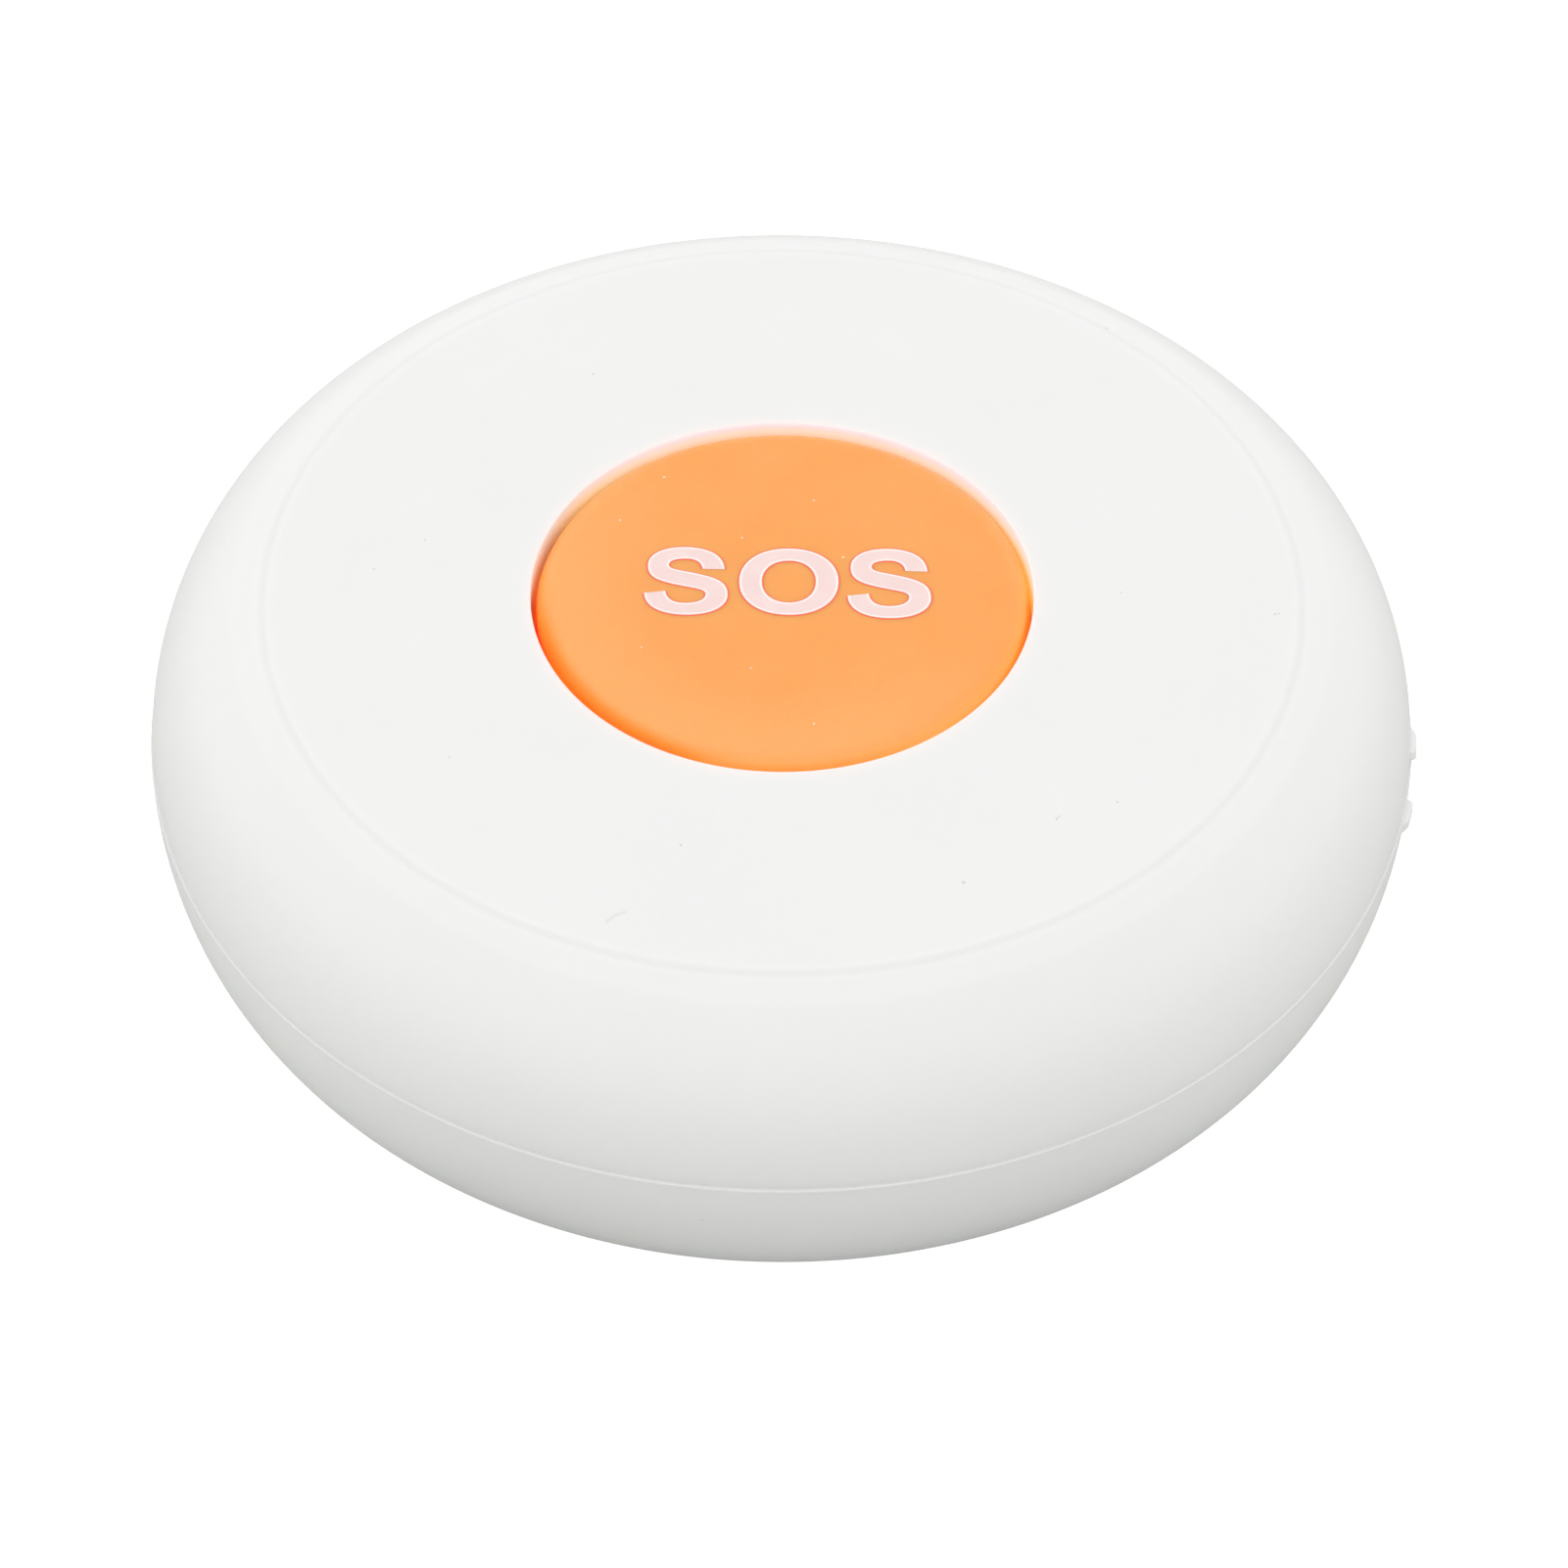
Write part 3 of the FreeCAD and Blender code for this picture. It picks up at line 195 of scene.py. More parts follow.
def combine(target, tool, operation):
    # adds the tool to the target or cuts it out, and uses it up
    modifier = target.modifiers.new(operation, "BOOLEAN")
    modifier.operation = operation
    modifier.solver = "EXACT"
    modifier.object = tool
    bpy.context.view_layer.update()
    shape = bpy.data.meshes.new_from_object(target.evaluated_get(bpy.context.evaluated_depsgraph_get()))
    target.modifiers.remove(modifier)
    used = (target.data, tool.data)
    target.data = shape
    bpy.data.objects.remove(tool)
    for mesh in used:
        bpy.data.meshes.remove(mesh)


# Finishes

def nodeMaterial(name):
    material = bpy.data.materials.new(name)
    material.use_nodes = True
    nodes = material.node_tree.nodes
    shader = nodes["Principled BSDF"]
    place = nodes.new("ShaderNodeTexCoord")
    return material, nodes, material.node_tree.links, shader, place.outputs["Object"]


def noise(nodes, links, place, size, detail=3.0, roughness=0.5, stretch=None):
    # noise with features about size millimetres across
    if stretch is not None:
        mapping = nodes.new("ShaderNodeMapping")
        mapping.inputs["Scale"].default_value = stretch
        links.new(place, mapping.inputs["Vector"])
        place = mapping.outputs["Vector"]
    texture = nodes.new("ShaderNodeTexNoise")
    texture.inputs["Scale"].default_value = 1.0 / (size * mm)
    texture.inputs["Detail"].default_value = detail
    texture.inputs["Roughness"].default_value = roughness
    links.new(place, texture.inputs["Vector"])
    return texture.outputs["Fac"]


def blended(nodes, links, factor, first, second, low=0.35, high=0.65):
    # a colour that goes from first to second as factor rises from low to high
    ramp = nodes.new("ShaderNodeValToRGB")
    ramp.color_ramp.elements[0].position = low
    ramp.color_ramp.elements[1].position = high
    ramp.color_ramp.elements[0].color = (*first, 1)
    ramp.color_ramp.elements[1].color = (*second, 1)
    links.new(factor, ramp.inputs["Fac"])
    return ramp.outputs["Color"]


def bumped(nodes, links, shader, height, depth, strength):
    # fine relief, depth millimetres from its lowest to its highest
    bump = nodes.new("ShaderNodeBump")
    bump.inputs["Strength"].default_value = strength
    bump.inputs["Distance"].default_value = depth * mm
    links.new(height, bump.inputs["Height"])
    links.new(bump.outputs["Normal"], shader.inputs["Normal"])


def maths(nodes, links, operation, first, second):
    # one Math node; each of the two may be a socket or a number
    node = nodes.new("ShaderNodeMath")
    node.operation = operation
    for value, entry in zip((first, second), node.inputs):
        if isinstance(value, (int, float)):
            entry.default_value = value
        else:
            links.new(value, entry)
    return node.outputs["Value"]


def rising(nodes, links, value, start, full, interpolation="SMOOTHSTEP"):
    # 0 up to start and 1 from full on; start may be the larger of the two
    node = nodes.new("ShaderNodeMapRange")
    node.interpolation_type = interpolation
    node.inputs["From Min"].default_value = start
    node.inputs["From Max"].default_value = full
    links.new(value, node.inputs["Value"])
    return node.outputs["Result"]


def heightOf(nodes, links, place):
    split = nodes.new("ShaderNodeSeparateXYZ")
    links.new(place, split.inputs["Vector"])
    return split.outputs["Z"]


def flattened(nodes, links, place):
    # the place without its height
    flat = nodes.new("ShaderNodeVectorMath")
    flat.operation = "MULTIPLY"
    flat.inputs[1].default_value = (1, 1, 0)
    links.new(place, flat.inputs[0])
    return flat.outputs["Vector"]


def spots(nodes, links, place, marks, core=0.4):
    # 1 inside any of the marks, 0 outside; a mark is x, y, z and a radius in millimetres, and
    # it is full up to the share core of its radius
    total = 0.0
    for x, y, z, radius in marks:
        distance = nodes.new("ShaderNodeVectorMath")
        distance.operation = "DISTANCE"
        distance.inputs[1].default_value = (x * mm, y * mm, z * mm)
        links.new(place, distance.inputs[0])
        inside = rising(nodes, links, distance.outputs["Value"], radius * mm, radius * core * mm)
        total = maths(nodes, links, "MAXIMUM", total, inside)
    return total


def awayFromHeight(nodes, links, place, height, start, full):
    # rises from 0 close to one height to 1 further above and below it, in millimetres
    gap = maths(nodes, links, "SUBTRACT", heightOf(nodes, links, place), height * mm)
    return rising(nodes, links, maths(nodes, links, "ABSOLUTE", gap, 0.0), start * mm, full * mm)


def fromAxis(nodes, links, place, start, full):
    # rises from 0 at one distance from the vertical axis to 1 at another, in millimetres
    length = nodes.new("ShaderNodeVectorMath")
    length.operation = "LENGTH"
    links.new(flattened(nodes, links, place), length.inputs[0])
    return rising(nodes, links, length.outputs["Value"], start * mm, full * mm)


def facing(nodes, links, place, angle, start, full):
    # rises from 0 to 1 as a place's direction from the vertical axis nears the angle; start and
    # full are cosines of what is left between them
    unit = nodes.new("ShaderNodeVectorMath")
    unit.operation = "NORMALIZE"
    links.new(flattened(nodes, links, place), unit.inputs[0])
    dot = nodes.new("ShaderNodeVectorMath")
    dot.operation = "DOT_PRODUCT"
    dot.inputs[1].default_value = (math.cos(math.radians(angle)), math.sin(math.radians(angle)), 0)
    links.new(unit.outputs["Vector"], dot.inputs[0])
    return rising(nodes, links, dot.outputs["Value"], start, full)


def mixedColour(nodes, links, factor, amount, base, over):
    # the colour over shows on base by factor times amount
    mix = nodes.new("ShaderNodeMix")
    mix.data_type = "RGBA"
    mix.inputs["B"].default_value = (*over, 1)
    links.new(maths(nodes, links, "MULTIPLY", factor, amount), mix.inputs["Factor"])
    if isinstance(base, tuple):
        mix.inputs["A"].default_value = (*base, 1)
    else:
        links.new(base, mix.inputs["A"])
    return mix.outputs["Result"]


casePlastic = {
    "light": (0.880, 0.880, 0.868),
    "shade": (0.873, 0.874, 0.862),
    "cloudSize": 9.0,
    "grainSize": 0.22,
    "grainDepth": 0.004,
    "grainStrength": 0.35,
    "roughness": 0.42,
    "depth": 0.5,                      # how far light wanders in the plastic, in millimetres
    "spread": (1.0, 0.95, 0.90),       # and how far red, green and blue do beside each other
    "seam": 10.0,                      # light doesn't wander across the parting line
    "seamReach": (0.11, 0.16),
    "topHeights": (16.5, 17.0),        # above these lie the ring's painted shade and the bore's painted glow
    # painted glow in the back of the bore, standing in for light: white through the roof, and orange
    # from the cap lower down; a facing is a direction in degrees and two cosines
    "boreRadii": (12.80, 12.79),
    "boreWhite": (0.35, 0.31, 0.61),
    "boreAmount": 0.36,
    "boreFacing": (73, 0.10, 0.75),
    "boreHeights": (17.8, 18.2),
    "deepOrange": (1.0, 0.90, 0.12),
    "deepAmount": 0.18,
    "deepFacing": (73, 0.0, 0.40),
    "deepHeights": (18.75, 18.35),
    "dirt": (0.33, 0.32, 0.30),
    "dirtAmount": 0.34,
    "ringPaintedShade": (0.80, 0.80, 0.79),   # painted shade in the channel and where the shoulder starts
    "ringRadii": (26.08, 26.38, 26.72),
    "ringAmount": 0.32,
    "shoulderRadii": (27.7, 28.3, 30.5),
    "shoulderAmount": 0.17,
    # x, y, z and radius of the dark specks and short scratches on the case
    "marks": [
        (8.94, -20.34, 19.0, 0.13), (13.59, -15.97, 19.0, 0.10), (13.72, -15.80, 19.0, 0.08),
        (-9.95, 16.44, 19.0, 0.10), (25.00, -1.41, 19.0, 0.09), (25.20, -1.38, 19.0, 0.08),
        (-4.90, -17.90, 19.0, 0.10), (-18.29, 3.76, 19.0, 0.08), (-20.80, 1.57, 19.0, 0.08),
        (-16.46, -11.90, 19.0, 0.08), (17.09, 20.40, 18.9, 0.10), (-3.74, -32.08, 7.4, 0.12),
        (17.25, 0.11, 19.0, 0.07), (16.61, -14.80, 19.0, 0.09),
    ],
    # a longer curved scratch: both ends, its height, how far it bows out, and its dabs' radius
    "scratch": ((-8.42, -23.10), (-7.58, -22.46), 19.0, 0.10, 0.13),
    "scratchDabs": 11,
    "scratchAmount": 0.12,
    "ledgePaintedShade": (0.78, 0.78, 0.77),  # painted shade on the ledge of the parting line
    "ledgeAmount": 0.5,
    "ledgeReach": (0.03, 0.07),
}


def bowedMarks(ends, height, bow, radius, count):
    # start + t (end - start) + 4 t (1 - t) bow across: marks along a bowed run
    start, end = np.array(ends)
    t = np.linspace(0, 1, count)[:, None]
    across = np.array([start[1] - end[1], end[0] - start[0]]) / np.linalg.norm(end - start)
    dabs = start + t * (end - start) + 4 * t * (1 - t) * bow * across
    return [(x, y, height, radius) for x, y in dabs.tolist()]


def caseColour(nodes, links, place, onTop):
    # a faintly clouded white with painted shade in the ring, on the shoulder and on the ledge, and its
    # marks
    values = casePlastic
    cloud = noise(nodes, links, place, values["cloudSize"], detail=2.0)
    colour = blended(nodes, links, cloud, values["shade"], values["light"])
    # painted shade: greyer in the channel and where the shoulder starts to fall away
    for radii, amount in (("ringRadii", "ringAmount"), ("shoulderRadii", "shoulderAmount")):
        start, full, end = values[radii]
        hump = maths(nodes, links, "MULTIPLY", fromAxis(nodes, links, place, start, full),
                     fromAxis(nodes, links, place, end, full))
        hump = maths(nodes, links, "MULTIPLY", hump, onTop)
        colour = mixedColour(nodes, links, hump, values[amount], colour, values["ringPaintedShade"])
    marks = spots(nodes, links, place, values["marks"])
    colour = mixedColour(nodes, links, marks, values["dirtAmount"], colour, values["dirt"])
    first, last, *rest = values["scratch"]
    scratch = spots(nodes, links, place, bowedMarks((first, last), *rest, values["scratchDabs"]))
    colour = mixedColour(nodes, links, scratch, values["scratchAmount"], colour, values["dirt"])
    # painted shade along the ledge of the parting line
    beside = awayFromHeight(nodes, links, place, values["seam"], *values["ledgeReach"])
    ledge = maths(nodes, links, "SUBTRACT", 1.0, beside)
    return mixedColour(nodes, links, ledge, values["ledgeAmount"], colour, values["ledgePaintedShade"])


def paintedBoreGlow(nodes, links, place, height, onTop):
    # painted glow on the bore's far wall: white everywhere, and orange in its lower part
    values = casePlastic
    inBore = fromAxis(nodes, links, place, *values["boreRadii"])
    glow = (0.0, 0.0, 0.0)
    for part, over in (("bore", "boreWhite"), ("deep", "deepOrange")):
        level = rising(nodes, links, height, *(edge * mm for edge in values[part + "Heights"]))
        mask = maths(nodes, links, "MULTIPLY", level, inBore)
        side = facing(nodes, links, place, *values[part + "Facing"])
        mask = maths(nodes, links, "MULTIPLY", mask, side)
        mask = maths(nodes, links, "MULTIPLY", mask, onTop)
        glow = mixedColour(nodes, links, mask, values[part + "Amount"], glow, values[over])
    return glow


def makeCasePlastic(name="case_plastic"):
    values = casePlastic
    material, nodes, links, shader, place = nodeMaterial(name)
    height = heightOf(nodes, links, place)
    onTop = rising(nodes, links, height, *(edge * mm for edge in values["topHeights"]))
    links.new(caseColour(nodes, links, place, onTop), shader.inputs["Base Color"])
    shader.inputs["Roughness"].default_value = values["roughness"]
    shader.inputs["IOR"].default_value = plasticBend
    away = awayFromHeight(nodes, links, place, values["seam"], *values["seamReach"])
    links.new(away, shader.inputs["Subsurface Weight"])
    shader.inputs["Subsurface Radius"].default_value = values["spread"]
    shader.inputs["Subsurface Scale"].default_value = values["depth"] * mm
    # the bore's painted glow is the case's emission
    links.new(paintedBoreGlow(nodes, links, place, height, onTop), shader.inputs["Emission Color"])
    shader.inputs["Emission Strength"].default_value = 1.0
    grain = noise(nodes, links, place, values["grainSize"], detail=2.0)
    bumped(nodes, links, shader, grain, values["grainDepth"], values["grainStrength"])
    return material


buttonPlastic = {
    "light": (1.0, 0.405, 0.122),
    "shade": (1.0, 0.387, 0.110),
    "cloudSize": 3.0,
    "paintedPale": (1.0, 0.438, 0.146),       # painted light: the face is paler towards the left and the front
    "paleFacing": (230, -0.5, 0.6),    # direction in degrees and two cosines
    "paleRadii": (6.0, 10.8),
    "middle": (1.0, 0.290, 0.030),     # painted shade: deeper where it rounds over, most on the left and front
    "deep": (1.0, 0.175, 0.004),
    "deepFacing": (219, 0.70, 0.98),
    "deepRadii": (11.50, 12.55),
    "sideFacing": (235, 0.20, 0.80),
    "sideRadii": (11.80, 12.65),
    "sideAmount": 0.62,
    "dark": (0.85, 0.02, 0.0),         # the gap on the left shades the cap's edge
    "darkFacing": (188, 0.955, 0.990),
    "darkRadii": (12.40, 12.60),
    "lineFacing": (270, -0.15, 0.10),
    "lineRadii": (12.30, 12.62),
    "gloss": 0.25,
    "depth": 0.4,
    "spread": (1.0, 0.50, 0.25),
    "glow": (1.0, 0.30, 0.03),         # painted glow: a little everywhere, most at its edge and towards the front
    "glowDeep": (1.0, 0.15, 0.004),
    "glowFace": 0.07,
    "glowEdge": 0.36,
    "glowRadii": (11.6, 12.6),
    "glowFacing": (270, -0.75, 0.2),
    "grainSize": 0.25,
    "grainDepth": 0.005,
    "grainStrength": 0.3,
    "roughness": 0.40,
    "dust": (1.0, 0.80, 0.66),
    "dustAmount": 0.9,
    # x, y, z and radius of the pale dust specks on the cap
    "marks": [
        (-6.13, 8.66, 18.9, 0.11), (1.62, 6.94, 18.9, 0.09), (-8.35, 5.40, 18.9, 0.09),
        (3.12, 2.71, 18.9, 0.09), (-2.05, 4.13, 18.9, 0.08), (-1.53, -5.38, 18.9, 0.08),
        (-7.07, -3.94, 18.9, 0.08), (1.62, -9.33, 18.9, 0.09),
    ],
}


def makeButtonPlastic(name="button_plastic"):
    values = buttonPlastic
    material, nodes, links, shader, place = nodeMaterial(name)

    def product(radii, direction):
        return maths(nodes, links, "MULTIPLY", fromAxis(nodes, links, place, *values[radii]),
                     facing(nodes, links, place, *values[direction]))

    cloud = noise(nodes, links, place, values["cloudSize"], detail=3.0)
    colour = blended(nodes, links, cloud, values["shade"], values["light"])
    # painted light: paler towards the left and the front of the face
    colour = mixedColour(nodes, links, product("paleRadii", "paleFacing"), 1.0, colour, values["paintedPale"])
    marks = spots(nodes, links, place, values["marks"])
    colour = mixedColour(nodes, links, marks, values["dustAmount"], colour, values["dust"])
    # painted shade where the cap rounds over, on its left, its front and along its front edge
    side = maths(nodes, links, "MULTIPLY", product("sideRadii", "sideFacing"), values["sideAmount"])
    deep = maths(nodes, links, "MAXIMUM", product("deepRadii", "deepFacing"), side)
    deep = maths(nodes, links, "MAXIMUM", deep, product("lineRadii", "lineFacing"))
    for start, full, over in ((0.0, 0.5, "middle"), (0.5, 1.0, "deep")):
        share = rising(nodes, links, deep, start, full, "LINEAR")
        colour = mixedColour(nodes, links, share, 1.0, colour, values[over])
    dark = product("darkRadii", "darkFacing")
    colour = mixedColour(nodes, links, dark, 1.0, colour, values["dark"])
    links.new(colour, shader.inputs["Base Color"])
    shader.inputs["Roughness"].default_value = values["roughness"]
    shader.inputs["IOR"].default_value = plasticBend
    shader.inputs["Subsurface Weight"].default_value = 1.0
    shader.inputs["Subsurface Radius"].default_value = values["spread"]
    shader.inputs["Subsurface Scale"].default_value = values["depth"] * mm
    shader.inputs["Specular IOR Level"].default_value = values["gloss"]
    # painted glow: a little over the whole cap, more at its edge, deeper where the painted shade is
    edge = maths(nodes, links, "MULTIPLY", product("glowRadii", "glowFacing"), values["glowEdge"])
    glowColour = mixedColour(nodes, links, deep, 1.0, values["glow"], values["glowDeep"])
    glowColour = mixedColour(nodes, links, dark, 1.0, glowColour, values["dark"])
    links.new(glowColour, shader.inputs["Emission Color"])
    links.new(maths(nodes, links, "ADD", edge, values["glowFace"]), shader.inputs["Emission Strength"])
    grain = noise(nodes, links, place, values["grainSize"], detail=2.0)
    bumped(nodes, links, shader, grain, values["grainDepth"], values["grainStrength"])
    return material


printInk = {
    "light": (0.955, 0.745, 0.715),
    "shade": (0.930, 0.700, 0.675),
    "rim": (1.0, 0.90, 0.87),          # the ink stands a little thicker along its edges
    "line": (1.0, 0.190, 0.085),       # the line that the print leaves in the cap round itself
    "lineTop": 0.010,                  # heights over the cap that part line, fill and rim
    "rimBottom": 0.033,
    "cloudSize": 1.2,
    "roughness": 0.5,
    "grainSize": 0.12,
    "grainDepth": 0.003,
    "grainStrength": 0.3,
}


def makePrintInk(top, name="print_ink"):
    values = printInk
    material, nodes, links, shader, place = nodeMaterial(name)
    cloud = noise(nodes, links, place, values["cloudSize"], detail=4.0)
    colour = blended(nodes, links, cloud, values["shade"], values["light"])
    height = heightOf(nodes, links, place)
    rim = maths(nodes, links, "GREATER_THAN", height, (top + values["rimBottom"]) * mm)
    line = maths(nodes, links, "LESS_THAN", height, (top + values["lineTop"]) * mm)
    colour = mixedColour(nodes, links, rim, 1.0, colour, values["rim"])
    colour = mixedColour(nodes, links, line, 1.0, colour, values["line"])
    links.new(colour, shader.inputs["Base Color"])
    shader.inputs["Roughness"].default_value = values["roughness"]
    grain = noise(nodes, links, place, values["grainSize"])
    bumped(nodes, links, shader, grain, values["grainDepth"], values["grainStrength"])
    return material


# finishes inside and underneath: two colours, grain in millimetres and roughness
plainFinishes = {
    "seal_rubber": ((0.20, 0.20, 0.21), (0.26, 0.26, 0.27), 0.15, 0.7),
    "switch_plastic": ((0.016, 0.016, 0.018), (0.03, 0.03, 0.032), 0.1, 0.5),
    "chip_epoxy": ((0.02, 0.02, 0.022), (0.04, 0.04, 0.042), 0.06, 0.6),
    "board_laminate": ((0.012, 0.085, 0.035), (0.02, 0.13, 0.055), 0.5, 0.3),
    "passive_ceramic": ((0.32, 0.22, 0.13), (0.45, 0.34, 0.22), 0.2, 0.5),
    "lamp_lens": ((0.80, 0.76, 0.58), (0.88, 0.84, 0.68), 0.4, 0.15),
}
metalFinishes = {
    "screw_steel": ((0.42, 0.43, 0.45), (0.60, 0.60, 0.62), 0.12, 0.33),
    "spring_steel": ((0.45, 0.45, 0.46), (0.66, 0.66, 0.67), 0.1, 0.25),
    "cell_steel": ((0.56, 0.56, 0.57), (0.72, 0.72, 0.73), 0.3, 0.22),
    "contact_brass": ((0.62, 0.42, 0.16), (0.78, 0.58, 0.28), 0.3, 0.25),
    "antenna_brass": ((0.66, 0.45, 0.18), (0.80, 0.60, 0.30), 0.2, 0.22),
}
finishGrain = {
    "depth": 0.004,
    "strength": 0.25,
    "detail": 4.0,
    "drawn": (1, 1, 6),                # metal is grained along its height
}


def makeFinish(name, values, metallic):
    material, nodes, links, shader, place = nodeMaterial(name)
    first, second, size, roughness = values
    stretch = finishGrain["drawn"] if metallic else None
    grain = noise(nodes, links, place, size, detail=finishGrain["detail"], stretch=stretch)
    links.new(blended(nodes, links, grain, first, second), shader.inputs["Base Color"])
    shader.inputs["Metallic"].default_value = metallic
    shader.inputs["Roughness"].default_value = roughness
    bumped(nodes, links, shader, grain, finishGrain["depth"], finishGrain["strength"])
    return material


def makeFinishes():
    finishes = {name: makeFinish(name, values, 0.0) for name, values in plainFinishes.items()}
    finishes.update({name: makeFinish(name, values, 1.0) for name, values in metalFinishes.items()})
    finishes["case_plastic"] = makeCasePlastic()
    finishes["button_plastic"] = makeButtonPlastic()
    return finishes


finishes = makeFinishes()
slotOfNode = {row["node"]: row["material_slot"] for row in frame["record"]["subparts"]}
for node, item in frame["nodes"].items():
    item.data.materials.clear()
    item.data.materials.append(finishes[slotOfNode[node]])
print("stage: finishes on", len(slotOfNode), "nodes")


def dress(piece, material, body, slot, *nodes):
    # gives a piece its finish and its body, and hides the nodes that it stands in for
    piece.data.materials.clear()
    piece.data.materials.append(material)
    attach(piece, body)
    if nodes:
        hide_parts(*nodes)
    return piece


# Case

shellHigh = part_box("upper_shell")[1]
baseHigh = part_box("lower_shell")[1]
caseShape = {
    "segments": 256,
    "upperRim": shellHigh[1] / mm + 0.07,
    "lowerRim": baseHigh[1] / mm + 0.06,
    "top": shellHigh[2] / mm,
    "seam": 10.0,                      # height of the parting line
    "domeRun": 7.0,
    "baseRun": 6.0,
    "wall": 1.9,
    "roof": 2.0,
    "floor": 2.2,
    "bore": 12.79,
    "boreEdge": 0.05,
    "ring": 26.42,                     # soft channel round the flat panel
    "ringHalf": 0.35,
    "ringDepth": 0.035,
    "bandEnd": 27.9,                   # a plain narrow band runs from the channel to the shoulder
    "collarOuter": 14.55,
    "collarBottom": 14.0,
    "rabbet": 31.6,
    "rabbetTop": 11.9,
    "tongueOuter": 31.5,
    "tongueInner": 30.6,
    "tongueTop": 11.2,
    "ledgeEdge": 0.04,
    "doorHole": 13.2,
    "doorWell": 15.4,
    "doorRecess": 1.2,
    "wellEdge": 0.12,
    "cradleInner": 14.9,
    "cradleOuter": 16.1,
    "cradleTop": 7.4,
    "panelStart": 0.6,                 # the flat panel's first points lie this far beyond the bore
    "footStart": 17.0,
    "footEnd": 0.4,
    "sideEnd": -0.6,                   # the base's curve stops this many degrees below the ledge
    "arcLegs": 3,                      # length of the legs that the small edge arcs are cut from
    "channelSteps": 15,
    "panelSteps": 24,
    "bandSteps": 8,
    "shoulderSteps": 64,
    "sideSteps": 72,
    "innerSteps": 20,
}
gateShape = {
    "width": 1.9,
    "rise": 0.6,
    "proud": 0.30,
    "upper": (-3.9, 10.25, 1),         # angle, lowest height, and the side that it tapers to
    "lower": (-11.3, 9.15, -1),
    "root": 0.8,                       # how deep it reaches into the wall
    # corners outside the wall, as shares of proud and of half the width, and all corners' radii
    "corners": [(0.2, -1.0), (1.0, -0.8), (0.9, 0.4), (0.0, 1.0)],
    "cornerRadii": [0, 0.06, 0.12, 0.4, 0.1, 0],
}
# boxes: first angle, copies, then both ends in x, y and z as seen on +X
# posts: first angle, copies, distance from the axis, radius, both ends in z
upperInside = {
    "boxes": [
        (90, 3, 13.05, 14.35, -1.2, 1.2, 12.35, 15.5),       # keys that keep the button from turning
        (270, 3, 14.05, 28.0, -0.5, 0.5, 14.8, 17.25),       # ribs under the roof
    ],
    "posts": [(90, 3, 23.3, 2.8, 5.3, 17.5)],                # screw bosses
    "braces": [(90, 3, 14.05, 23.3, -0.5, 0.5, 14.8, 17.5)],
    "pilots": [(90, 3, 23.3, 1.13, 5.0, 12.3)],
}
lowerInside = {
    "boxes": [
        (0, 6, 15.6, 28.1, -0.5, 0.5, 1.1, 3.6),             # floor ribs
        (45, 4, 12.35, 15.4, -0.5, 0.5, 3.2, 7.4),           # ribs that centre the cell
        (0, 3, 13.45, 15.4, 2.25, 3.25, 1.1, 3.1),           # stops for the door's tabs
    ],
    "posts": [(90, 3, 23.3, 3.4, 1.1, 5.2), (270, 3, 17.5, 2.3, 1.1, 8.8)],
    "cuts": [
        (-25, 3, 12.1, 14.55, -2.25, 2.25, 1.1, 2.3),        # entries for the door's tabs
        (180, 1, 14.4, 16.6, -2.8, 2.8, 3.2, 7.5),           # window for the contact strip
    ],
    "pilots": [(270, 3, 17.5, 0.93, 3.8, 9.1)],
    "headBore": (2.6, 3.0),            # radius and upper end
    "shankHole": (1.4, 5.5),
    "holeStart": -0.5,
    "holeSegments": 40,
    "screwDistance": 23.3,
}


# each row of a list above becomes one shape of evenly repeated copies

def boxes(rows):
    return [around(boxShape(*row[2:]), row[0], row[1]) for row in rows]


def posts(rows):
    return [around(postShape(*row[2:]), row[0], row[1]) for row in rows]


def gateTab(rim, angle, lowest, side):
    # a small tab across the rim that tapers to one side
    proud, half = gateShape["proud"], gateShape["width"] / 2 * side
    root = rim - gateShape["root"]
    corners = [(rim + proud * x, half * y) for x, y in gateShape["corners"]]
    outline = rounded([(root, -half), *corners, (root, half)], gateShape["cornerRadii"])
    return around(prismShape(outline, lowest, lowest + gateShape["rise"]), angle)


def upperOutline():
    # the upper shell's section: bore, panel, channel, band, shoulder, rabbet, inner wall and collar
    values = caseShape
    rim, top, seam = values["upperRim"], values["top"], values["seam"]
    ring, half, run = values["ring"], values["ringHalf"], values["domeRun"]
    bore, collar, rabbet = values["bore"], values["collarOuter"], values["rabbet"]
    centre = (rim - run, seam)
    rise = top - seam
    angles = [math.acos((radius - centre[0]) / run) for radius in (ring + half, values["bandEnd"])]
    # the channel is a cosine dip, so both of its lips are soft
    t = np.linspace(-1, 1, values["channelSteps"])
    dip = values["ringDepth"] * (1 + np.cos(math.pi * t)) / 2
    endY, bandY = (seam + rise * math.sin(angle) for angle in angles)
    channel = np.stack([ring + half * t, top + (endY - top) * (t + 1) / 2 - dip], axis=1)
    band = straight((ring + half, endY), (values["bandEnd"], bandY), values["bandSteps"])
    shoulder = ellipseRun(centre, run, rise, math.degrees(angles[1]), 0, values["shoulderSteps"])
    innerRise = rise - values["roof"]
    rabbetAngle = math.degrees(math.asin((values["rabbetTop"] - seam) / innerRise))
    inner = ellipseRun(centre, run - values["wall"], innerRise, rabbetAngle, 90, values["innerSteps"])
    legs = values["arcLegs"]
    boreArc = rounded([(bore, top - legs), (bore, top), (bore + legs, top)], [0, values["boreEdge"], 0])
    panel = straight((bore + values["panelStart"], top), (ring - half, top), values["panelSteps"])
    return joined(
        (bore, values["collarBottom"]), boreArc[1:-1], panel, channel[1:], band[1:], shoulder[1:],
        (rabbet, seam), (rabbet, values["rabbetTop"]), inner,
        (collar, top - values["roof"]), (collar, values["collarBottom"]))


